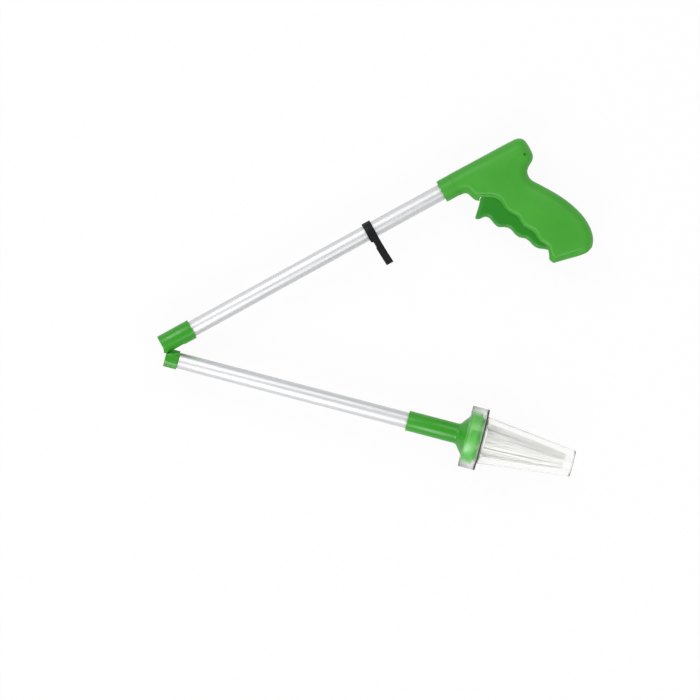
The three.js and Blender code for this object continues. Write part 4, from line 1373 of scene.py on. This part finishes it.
@dataclass
class TieStrap:
    """Hook-and-loop tape round the upper tube, its two ends pressed together as a flag."""

    along: float = 205.8
    width: float = 7.8
    thickness: float = 1.4
    edge: float = 0.25
    tail: float = 33.0
    tail_height: float = 4.6  # of its end
    over: tuple[Point, ...] = ((-27.0, 5.9), (-20.0, 6.9), (-13.0, 7.6), (-7.0, 8.0))
    meet: float = -2.0  # where the tail's layer comes off the tube
    wrap: Place = (-15.0, -276.0, -15.0)  # degrees round the tube: first, limit and step
    under: tuple[Point, ...] = ((-8.5, 3.4), (-10.2, 5.9))
    under_end: tuple[Point, ...] = ((-12.4, 7.6), (-15.0, 7.35))  # the layer that it lies under
    press: float = 0.1  # between the layers
    root: float = 8.0  # where the tail starts
    neck: float = 1.8  # both layers are this much narrower below the tube, on one edge
    neck_zone: Point = (8.6, 9.8)
    flap: float = 0.7  # the tail's end is that much wider again
    flap_zone: Point = (15.2, 15.7)
    tail_bend: float = 1.2
    bend_power: float = 1.5
    path_steps: int = 150
    width_steps: int = 10

    def path(self) -> np.ndarray:
        """The tape's middle line across the tube: tail, round the tube, under end.

        Returns:
            Points across and up.
        """
        radius = TUBE_RADIUS + FIT + self.thickness / 2
        over = [(-self.tail, self.tail_height), *self.over, (self.meet, radius)]
        turns = np.radians(np.arange(*self.wrap))
        round_tube = [(-radius * math.sin(a), radius * math.cos(a)) for a in turns]
        lift = self.thickness + self.press
        under = [*self.under, *((y, z - lift) for y, z in self.under_end)]
        return run([*over, *round_tube, *under], self.path_steps)

    def build(self, paints: Paints) -> None:
        """Builds and dresses the tape.

        Args:
            paints: The part's finishes.
        """
        line = self.path()
        length = lengths(line)
        piece = start("tie_tape", bpy.ops.mesh.primitive_grid_add, x_subdivisions=self.width_steps,
                      y_subdivisions=self.path_steps - 1, size=1.0)
        layers = piece.data.uv_layers
        cloth = layers[0] if layers else layers.new()
        cloth.name = "cloth"
        columns = self.width_steps + 1
        for k, vertex in enumerate(piece.data.vertices):
            row, column = divmod(k, columns)
            y, z = line[row]
            across = column / self.width_steps
            cut = self.neck * part(-y, *self.neck_zone) - self.flap * part(-y, *self.flap_zone)
            bend = self.tail_bend * part(-y, self.root, self.tail) ** self.bend_power
            x = self.along + self.width * (across - 0.5) + cut * (1.0 - across) + bend
            vertex.co = (x, y, z)
        for loop in piece.data.loops:
            row, column = divmod(loop.vertex_index, columns)
            cloth.data[loop.index].uv = (length[row], self.width * column / self.width_steps)
        apply(piece, "SOLIDIFY", thickness=self.thickness, offset=0.0)
        soften(piece, self.edge, 2)
        with editing(piece):
            bpy.ops.mesh.normals_make_consistent(inside=False)
        smooth(piece, 50.0)
        settle(piece, UPPER.matrix(), Body.HANDLE.value, Slot.STRAP, paints.strap, "tie_strap")


@dataclass
class BrushHead:
    """The ferrule and flared hub, with the cup that draws the jaws back."""

    ferrule: Point = (218.8, 8.85)
    tube_stop: float = 257.6
    seat: float = 262.0
    rim: Point = (281.4, 23.1)
    wall: float = 1.9
    throat: float = 6.0
    cord_hole: float = 1.1
    edge: float = 0.35
    slots: int = 4
    slot_width: float = 4.6
    slot_length: float = 6.0
    slot_depth: float = 1.1
    slot_turn: float = -9.5
    flare: tuple[Point, ...] = (
        (260.0, 8.85), (263.0, 8.9), (264.6, 9.6), (267.8, 13.6), (271.0, 17.7), (271.7, 19.5),
        (272.4, 21.5), (273.4, 22.8), (274.4, 23.1),
    )
    flare_points: int = 40
    bowl: tuple[Point, ...] = ((275.4, 21.2), (274.3, 19.5), (273.2, 15.9), (270.4, 10.0))
    bowl_end: float = 267.6
    post: float = 7.0
    post_half: float = 2.1
    post_ends: Point = (267.0, 282.4)
    post_edge: float = 0.3
    hole_play: float = 0.5
    hole_ends: Point = (276.0, 281.4)
    cup: tuple[Point, ...] = (
        (268.0, 2.2), (268.0, 3.6), (277.2, 3.6), (277.2, 11.6), (278.95, 11.6), (278.95, 19.2),
        (284.8, 19.2), (284.8, 15.2), (283.3, 15.2), (283.3, 17.9), (280.35, 17.9), (280.35, 10.2),
        (278.6, 10.2), (278.6, 0.0), (276.9, 0.0), (276.9, 2.2),
    )
    cup_edge: float = 0.25
    spring_ends: Point = (262.8, 276.4)
    spring_radius: float = 4.9
    spring_wire: float = 0.5
    spring_turns: float = 5.5
    turn_steps: int = 24

    def bars(self, name: str, half: float, ends: Point) -> Iterator[Piece]:
        """A square bar at each of the hub's four posts.

        Args:
            name: The bars' name.
            half: Half their width.
            ends: Where they start and end along the tube.

        Yields:
            The bars, one at a time.
        """
        for y in (self.post, -self.post):
            for z in (self.post, -self.post):
                yield block(name, (ends[0], y - half, z - half), (ends[1], y + half, z + half))

    def hub(self) -> Piece:
        """The hub with its cup, tube bore, posts and rim slots.

        Returns:
            The piece, in the lower arm's frame.
        """
        end, radius = self.rim
        first, ferrule = self.ferrule
        curve = [tuple(p) for p in run(self.flare, self.flare_points)]
        bore = TUBE_RADIUS + FIT
        piece = spun("flared_hub", [
            (first, bore), (first, ferrule), *curve, (end, radius), (end, radius - self.wall),
            *self.bowl, (self.bowl_end, self.throat), (self.seat, self.throat),
            (self.seat, self.cord_hole), (self.tube_stop, self.cord_hole), (self.tube_stop, bore),
        ])
        half = self.slot_width / 2
        for k in range(self.slots):
            tool = block("slot", (end - self.slot_length, radius - self.slot_depth, -half),
                         (end + OVERLAP, radius + OVERLAP, half))
            tool.rotation_euler.x = 2 * math.pi * k / self.slots + math.radians(self.slot_turn)
            combine(piece, "DIFFERENCE", tool)
        soften(piece, self.edge, 2)
        for post in self.bars("post", self.post_half, self.post_ends):
            soften(post, self.post_edge, 2)
            combine(piece, "UNION", post)
        return piece

    def puller(self) -> Piece:
        """The cup that the cord draws back, with its lip over the jaws' tabs.

        Returns:
            The piece, in the lower arm's frame.
        """
        piece = spun("draw_cup", self.cup)
        for hole in self.bars("hole", self.post_half + self.hole_play, self.hole_ends):
            combine(piece, "DIFFERENCE", hole)
        soften(piece, self.cup_edge, 2)
        return piece

    def spring(self) -> Piece:
        """The return spring behind the cup.

        Returns:
            The piece, in the lower arm's frame.
        """
        first, last = self.spring_ends
        radius = self.spring_radius
        steps = int(self.spring_turns * self.turn_steps)
        points = []
        for k in range(steps + 1):
            angle = 2 * math.pi * k / self.turn_steps
            x = first + (last - first) * k / steps
            points.append((x, radius * math.cos(angle), radius * math.sin(angle)))
        return wire("coil_spring", points, self.spring_wire)

    def build(self, paints: Paints) -> None:
        """Builds and dresses the hub, the cup and the spring.

        Args:
            paints: The part's finishes.
        """
        hub, cup, spring = self.hub(), self.puller(), self.spring()
        for piece in (hub, cup, spring):
            smooth(piece, 35.0)
        at = LOWER.matrix()
        settle(hub, at, Body.LOWER.value, Slot.GREEN, paints.green, "brush_hub")
        settle(cup, at, Body.PULLER.value, Slot.GREEN, paints.green, "puller")
        settle(spring, at, Body.LOWER.value, Slot.STEEL, paints.steel, "return_spring")
        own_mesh(spring)


@dataclass
class Bristles:
    """Four quarters of nylon filament, bowed out from their backing and gathered at the tips."""

    quarters: int = 4
    back: float = 287.0
    backing: float = 1.0
    backing_edge: float = 0.2
    arc_points: int = 25
    inner: float = 8.0
    outer: float = 16.4
    spread: float = 41.0  # half the backing's angle
    root_spread: float = 36.0  # half the angle between the outer tufts at their roots
    tip_spread: float = 41.0  # and at their tips, where they lean over the gaps
    lean: float = 1.6  # most degrees that a tuft leans aside
    tufts: tuple[tuple[float, int], ...] = ((10.0, 5), (12.2, 6), (14.4, 8))
    tuft_radius: float = 1.3
    tuft_strands: int = 9
    root_radius: float = 0.19
    tip_radius: float = 0.1
    set_up: float = 0.3  # where a strand starts, above the backing's foot
    tip: float = 360.0
    tip_varies: float = 2.6
    gather: float = 0.44
    gather_varies: Point = (0.95, 1.04)
    tone_varies: float = 0.25
    bow: float = 0.5
    sides: int = 4
    segments: int = 6
    seed: int = 7

    def strand(self) -> Piece:
        """One straight strand of unit length and radius, to be copied.

        Returns:
            The strand, drawn out along x.
        """
        piece = start("strand", bpy.ops.mesh.primitive_circle_add, vertices=self.sides, radius=1.0,
                      fill_type="NGON", rotation=(0.0, math.pi / 2, 0.0))
        bpy.ops.object.transform_apply(location=True, rotation=True, scale=True)
        step = (1.0 / self.segments, 0.0, 0.0)
        with editing(piece):
            for _ in range(self.segments):
                bpy.ops.mesh.extrude_region_move(TRANSFORM_OT_translate={"value": step})
        outward(piece)
        return piece

    def quarter(self, name: str, number: int) -> Piece:
        """One quarter of the brush, its middle on +Y.

        Args:
            name: The piece's name.
            number: Which quarter, for its own small irregularities.

        Returns:
            The piece, in the lower arm's frame.
        """
        chance = random.Random(self.seed + number)
        strand = self.strand()
        shape = np.array([vertex.co for vertex in strand.data.vertices])
        sides = [tuple(face.vertices) for face in strand.data.polygons]
        bpy.data.objects.remove(strand)
        places, faces, tones = [], [], []
        t = np.clip(shape[:, 0], 0.0, 1.0)
        thick = self.root_radius + (self.tip_radius - self.root_radius) * t
        root = self.back + self.set_up
        root_turn, tip_turn = math.radians(self.root_spread), math.radians(self.tip_spread)
        for ring, count in self.tufts:
            for k in range(count):
                side = 2 * k / (count - 1) - 1
                lean = math.radians(chance.uniform(-self.lean, self.lean))
                tuft_tone = chance.random()
                for _ in range(self.tuft_strands):
                    off = self.tuft_radius * math.sqrt(chance.random())
                    way = chance.uniform(0.0, 2 * math.pi)
                    radius = ring + off * math.cos(way)
                    stray = off * math.sin(way) / ring
                    first = root_turn * side + stray
                    last = tip_turn * side + stray + lean
                    reach = self.tip - chance.uniform(0.0, self.tip_varies)
                    end = radius * self.gather * chance.uniform(*self.gather_varies)
                    bow = self.bow * np.sin(math.pi * t) * (radius / self.outer)
                    x = root + (reach - root) * t
                    r = radius + (end - radius) * t + bow
                    a = first + (last - first) * np.sqrt(t)
                    base = len(places) * len(shape)
                    faces += [tuple(v + base for v in face) for face in sides]
                    y, z = r * np.cos(a), r * np.sin(a)
                    places.append(np.column_stack([
                        x, y + thick * shape[:, 1], z + thick * shape[:, 2],
                    ]))
                    tone = tuft_tone + chance.uniform(-self.tone_varies, self.tone_varies)
                    tones += [min(1.0, max(0.0, tone))] * len(shape)
        backing = self.slice(name)
        mesh = bpy.data.meshes.new("strands")
        mesh.from_pydata(np.vstack(places), [], faces)
        strands = bpy.data.objects.new("strands", mesh)
        mark(strands, "tone", tones)
        bpy.context.scene.collection.objects.link(strands)
        with editing(strands):
            bpy.ops.mesh.normals_make_consistent(inside=False)
        only(backing)
        strands.select_set(True)
        bpy.ops.object.join()
        return backing

    def slice(self, name: str) -> Piece:
        """The backing slice that the strands are set in.

        Args:
            name: The piece's name.

        Returns:
            The slice, its middle on +Y.
        """
        arc = np.radians(np.linspace(-self.spread, self.spread, self.arc_points))
        outline = [(self.outer * math.sin(a), self.outer * math.cos(a)) for a in arc]
        outline += [(self.inner * math.sin(a), self.inner * math.cos(a)) for a in reversed(arc)]
        piece = prism(name, outline, 0.0, self.backing)
        soften(piece, self.backing_edge, 2)
        place = Matrix.Translation((self.back, 0.0, 0.0))
        piece.data.transform(place @ Matrix.Rotation(math.pi / 2, 4, "Y"))
        return piece

    def build(self, paints: Paints) -> None:
        """Builds and dresses the four quarters.

        Args:
            paints: The part's finishes.
        """
        for k in range(self.quarters):
            piece = self.quarter(f"brush_quarter_{k + 1}", k)
            smooth(piece, 60.0)
            at = LOWER.matrix() @ Matrix.Rotation(2 * math.pi * k / self.quarters, 4, "X")
            node = f"bristles_{k + 1}"
            settle(piece, at, f"jaw_{k + 1}", Slot.BRISTLE, paints.bristle, node)


@dataclass
class ClearCover:
    """The push-on cover: a collar over the hub's rim and a closed cone over the bristles."""

    back: float = 271.0
    lip: float = 23.4
    collar: Point = (285.8, 27.1)
    root: Point = (287.5, 20.7)
    shoulder: float = 0.5  # the cone's foot is this much wider at the collar
    shoulder_inside: float = 0.6  # of the wall
    tip: Point = (367.5, 11.5)
    wall: float = 1.3
    edge: float = 0.6
    facets: int = 128
    grain_reach: float = 0.1  # the matt grain starts this far inside the lip
    dark_edge: tuple[Point, Point] = ((284.6, 286.0), (24.6, 27.15))  # a dark ring painted where the clear collar's front edge looks dark; along and round the axis
    dark_edge_round: float = 0.25

    def build(self, paints: Paints) -> None:
        """Builds and dresses the cover and the dark ring painted on its collar's front, where the
        clear edge looks dark.

        Args:
            paints: The part's finishes.
        """
        wall = self.wall
        end, radius = self.collar
        (root, wide), (tip, narrow) = self.root, self.tip
        cover = spun("push_on_cover", [
            (self.back, self.lip), (self.back, radius), (end, radius), (end, wide + self.shoulder),
            (root, wide), (tip, narrow), (tip, 0.0), (tip - wall, 0.0), (tip - wall, narrow - wall),
            (root, wide - wall), (end - wall, wide - self.shoulder_inside * wall),
            (end - wall, self.lip),
        ], self.facets)
        soften(cover, self.edge)
        smooth(cover)
        inside = self.lip - self.grain_reach
        mark(cover, "matt", [
            float(math.hypot(vertex.co.y, vertex.co.z) > inside) for vertex in cover.data.vertices
        ])
        at = LOWER.matrix()
        settle(cover, at, Body.COVER.value, Slot.CLEAR, paints.clear, "clear_cover")
        # painted dark edge: a dark ring where the clear collar's front edge looks dark
        (first, last), (inner, outer) = self.dark_edge
        section = [(first, inner), (first, outer), (last, outer), (last, inner)]
        dark_edge = spun("cover_painted_dark_edge", section, self.facets)
        soften(dark_edge, self.dark_edge_round, 2)
        smooth(dark_edge)
        settle(dark_edge, at, Body.COVER.value, Slot.INNER, paints.dark_edge)


@dataclass
class PullCord:
    """The cord from the trigger through both arms to the cup."""

    radius: float = 0.6
    bend: float = 26.0
    split: float = 6.0
    dip: float = 0.2  # how far it has left the tube's axis at the bend
    near_pivot: tuple[Point, ...] = ((9.0, 2.4), (3.0, 0.9))
    pivot: Point = (0.2, 0.0)
    handle_start: float = HANDLE_X + 12.0
    bush_end: float = HANDLE_X + 25.7
    past_bush: tuple[Point, ...] = ((-3.0, 0.0), (1.5, -0.6), (8.0, -11.0))  # from the bush's end
    anchor: Point = (48.0, -38.0)
    slug_start: float = 272.6
    barrel: float = 2.2
    tube_steps: int = 30
    fold_steps: int = 60
    handle_steps: int = 48

    def strand(self, name: str, points: Sequence[Point], steps: int) -> Piece:
        """A round cord along points in the fold plane.

        Args:
            name: The piece's name.
            points: Points to pass, in millimetres from the fold pivot.
            steps: How many points it is made of.

        Returns:
            The cord.
        """
        piece = wire(name, [(x, y, 0.0) for x, y in run(points, steps)], self.radius)
        smooth(piece, 60.0)
        return piece

    def build(self, paints: Paints) -> None:
        """Builds and dresses the cord's four runs.

        Args:
            paints: The part's finishes.
        """
        first = self.bend + self.split
        pivot = Matrix.Translation(joint("fold")["pos_m"]) @ Matrix.Scale(MM, 4)
        tilt = Matrix.Rotation(UPPER.turn, 2)
        half = [(first - FIT, HINGE_OFFSET), (self.bend, HINGE_OFFSET - self.dip), *self.near_pivot]
        above = [tuple(tilt @ Vector(p)) for p in half]
        below = [(x, -y) for x, y in half]
        route = [*above, self.pivot, *reversed(below)]
        crossing = self.strand("cord_at_fold", route, self.fold_steps)
        crossing.data.transform(pivot)
        crossing.data.materials.append(paints.cord)
        pivot @ Vector((*above[2], 0.0))
        pivot @ Vector((*below[2], 0.0))
        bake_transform(crossing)
        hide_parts("pull_cord_hinge")
        for name, last, arm, body, node in (
            ("cord_in_upper_tube", self.handle_start, UPPER, Body.CORD, "pull_cord_upper"),
            ("cord_in_lower_tube", self.slug_start - FIT, LOWER, Body.PULLER, "pull_cord_lower"),
        ):
            straight = self.strand(name, [(first, 0.0), (last, 0.0)], self.tube_steps)
            settle(straight, arm.matrix(), body.value, Slot.CORD, paints.cord, node)
        end = Vector((HANDLE_X + self.anchor[0], self.anchor[1]))
        exit_point = Vector((self.bush_end, 0.0))
        stop = end + (exit_point - end).normalized() * self.barrel
        route = [(self.handle_start + FIT, 0.0),
                 *((self.bush_end + x, y) for x, y in self.past_bush), tuple(stop)]
        inside = self.strand("cord_in_handle", route, self.handle_steps)
        at = UPPER.matrix()
        inside.data.transform(at)
        inside.data.materials.append(paints.cord)
        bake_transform(inside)
        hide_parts("pull_cord_handle")


class InnerPieces:
    """Small pieces whose solids are already right, given their finish."""

    NATURAL = ("jaw_1", "jaw_2", "jaw_3", "jaw_4")
    GREY = ("cord_guide_bush",)
    STEEL = (
        "jaw_pin_1", "jaw_pin_2", "jaw_pin_3", "jaw_pin_4", "cord_end_barrel", "cord_end_slug",
    )

    def build(self, paints: Paints) -> None:
        """Dresses the pieces.

        Args:
            paints: The part's finishes.
        """
        finishes = {self.NATURAL: paints.natural, self.GREY: paints.grey, self.STEEL: paints.steel}
        for names, paint in finishes.items():
            for name in names:
                solid = frame["nodes"][name]
                solid.data.materials.clear()
                solid.data.materials.append(paint)


@dataclass
class Studio:
    """Pale floor, soft lamps and the camera square above the fold plane."""

    tilt: float = math.radians(14.70)  # the picture is turned this much about the view
    aim: Place = (-0.02404, -0.07088, 0.0271)
    picture_m: float = 0.609  # width of the picture at the tool
    lens: float = 400.0
    sensor: float = 36.0
    clip_end: float = 50.0
    floor_m: float = 8.0
    floor_z: float = -0.0003
    paper: float = 0.9  # the floor's own white
    paper_rough: float = 0.9
    mirrored: float = 0.3  # how much of plain white the floor adds to reflections
    ambient: float = 0.49
    shadow: float = 0.07  # how much of its shadow the floor shows
    walls: Point = (0.75, 0.6)  # what metal mirrors on the left and on the right
    walls_at: Point = (-0.3, 0.3)
    ceiling: Point = (1.0, 0.65)  # how much of that is left overhead
    ceiling_at: Point = (0.9, 0.99)
    # name, place from the picture's middle, width and height in metres, power in watts
    lamps: tuple[tuple[str, Place, Point, float], ...] = (
        ("upper_box", (-1.04, 1.44, 1.9), (0.8, 1.4), 16.5),
        ("lower_box", (-0.75, -1.77, 1.74), (0.8, 1.4), 21.5),
        ("upper_fill", (0.83, 1.58, 1.96), (1.2, 1.2), 8.6),
        ("lower_fill", (1.15, -1.27, 2.0), (1.4, 1.2), 8.5),
    )

    def across(self, right: float, up: float, high: float) -> Vector:
        """A place by its metres right of, above and in front of the picture's middle."""
        turn = Matrix.Rotation(self.tilt, 3, "Z")
        return Vector(self.aim) + turn @ Vector((right, up, high))

    def lamp(self, name: str, place: Vector, size: Point, power: float) -> None:
        """A soft box, aimed at the tool.

        Args:
            name: The lamp's name.
            place: Where it stands.
            size: Its width and height in metres.
            power: Its power in watts.
        """
        bpy.ops.object.light_add(type="AREA", location=place)
        light = bpy.context.object
        light.name = name
        light.data.shape = "RECTANGLE"
        light.data.size, light.data.size_y = size
        light.data.energy = power
        light.rotation_euler = (Vector(self.aim) - place).to_track_quat("-Z", "Y").to_euler()

    def rays(self, tree: Tree) -> tuple[Socket, Socket]:
        """Tells rays apart.

        Args:
            tree: The node tree to add to.

        Returns:
            Whether a ray is seen plainly or through clear plastic, and whether it is a reflection.
        """
        path = add(tree, "LightPath").outputs
        either = {0: path["Is Camera Ray"], 1: path["Is Transmission Ray"]}
        seen = add(tree, "Math", either, operation="ADD", use_clamp=True).outputs[0]
        return seen, path["Is Glossy Ray"]

    def floor(self) -> None:
        """A white floor that keeps a soft shadow."""
        piece = start("floor", bpy.ops.mesh.primitive_plane_add, size=self.floor_m,
                      location=(0.0, 0.0, self.floor_z))
        piece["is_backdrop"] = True
        material = bpy.data.materials.new("paper_white")
        material.use_nodes = True
        tree = material.node_tree
        shader = tree.nodes["Principled BSDF"]
        white = (self.paper, self.paper, self.paper, 1.0)
        matt = {"Base Color": white, "Roughness": self.paper_rough, "Specular IOR Level": 0.0}
        feed(shader, matt)
        seen, glossy = self.rays(tree)
        plain = add(tree, "Math", {0: seen, 1: 1.0 - self.shadow}, operation="MULTIPLY").outputs[0]
        share = add(tree, "Math", {0: glossy, 1: self.mirrored, 2: plain},
                    operation="MULTIPLY_ADD", use_clamp=True).outputs[0]
        glow = add(tree, "Emission", {"Color": (1.0, 1.0, 1.0, 1.0), "Strength": 1.0}).outputs[0]
        both = add(tree, "MixShader", {0: share, 1: shader.outputs[0], 2: glow}).outputs[0]
        feed(tree.nodes["Material Output"], {"Surface": both})
        piece.data.materials.append(material)

    def world(self) -> None:
        """White surroundings with a darker ceiling, which draws the streaks on the metal."""
        world = bpy.data.worlds.new("studio")
        bpy.context.scene.world = world
        world.use_nodes = True
        tree = world.node_tree
        way = add(tree, "TexCoord").outputs["Generated"]
        turned = add(tree, "Mapping", {"Vector": way, "Rotation": (0.0, 0.0, -self.tilt)})
        sides = add(tree, "SeparateXYZ", {0: turned.outputs[0]}).outputs
        shades = {}
        for k, (axis, limits, shade) in enumerate(
            (("X", self.walls_at, self.walls), ("Z", self.ceiling_at, self.ceiling)),
        ):
            inputs = {"Value": sides[axis], "From Min": limits[0], "From Max": limits[1],
                      "To Min": shade[0], "To Max": shade[1]}
            shades[k] = add(tree, "MapRange", inputs).outputs[0]
        dim = add(tree, "Math", shades, operation="MULTIPLY").outputs[0]
        seen, glossy = self.rays(tree)
        mirror = add(tree, "Mix", {0: glossy, 2: self.ambient, 3: dim}).outputs[0]
        strength = add(tree, "Mix", {0: seen, 2: mirror, 3: 1.0}).outputs[0]
        feed(tree.nodes["Background"], {"Color": (1.0, 1.0, 1.0, 1.0), "Strength": strength})

    def camera(self) -> None:
        """The camera, square above the tool."""
        distance = self.picture_m / 2 / (self.sensor / 2 / self.lens)
        bpy.ops.object.camera_add(
            location=self.across(0.0, 0.0, distance), rotation=(0.0, 0.0, self.tilt))
        camera = bpy.context.object
        camera.data.lens = self.lens
        camera.data.sensor_width = self.sensor
        camera.data.clip_end = self.clip_end
        bpy.context.scene.camera = camera

    def build(self) -> None:
        """Sets up the studio."""
        bpy.context.scene.view_settings.view_transform = "Standard"
        self.floor()
        self.world()
        for name, place, size, power in self.lamps:
            self.lamp(name, self.across(*place), size, power)
        self.camera()


def write_sizes() -> None:
    """Works out the CAD box and the dressed box; the result is not kept."""
    boxes = {"cad": CAD_BOX, "visual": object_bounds()}
    {name: [list(corner) for corner in pair] for name, pair in boxes.items()}


def main() -> None:
    """Builds every piece in order and sets up the studio."""
    logging.basicConfig(level=logging.INFO, format="%(message)s")
    Studio().build()
    paints = Paints()
    for assembly in (Handle(), Trigger(), FoldHinge(), Tubes(), TieStrap(), BrushHead(),
                     Bristles(), ClearCover(), PullCord(), InnerPieces()):
        LOG.info("building %s", type(assembly).__name__)
        assembly.build(paints)
    write_sizes()


if __name__ == "__main__":
    main()
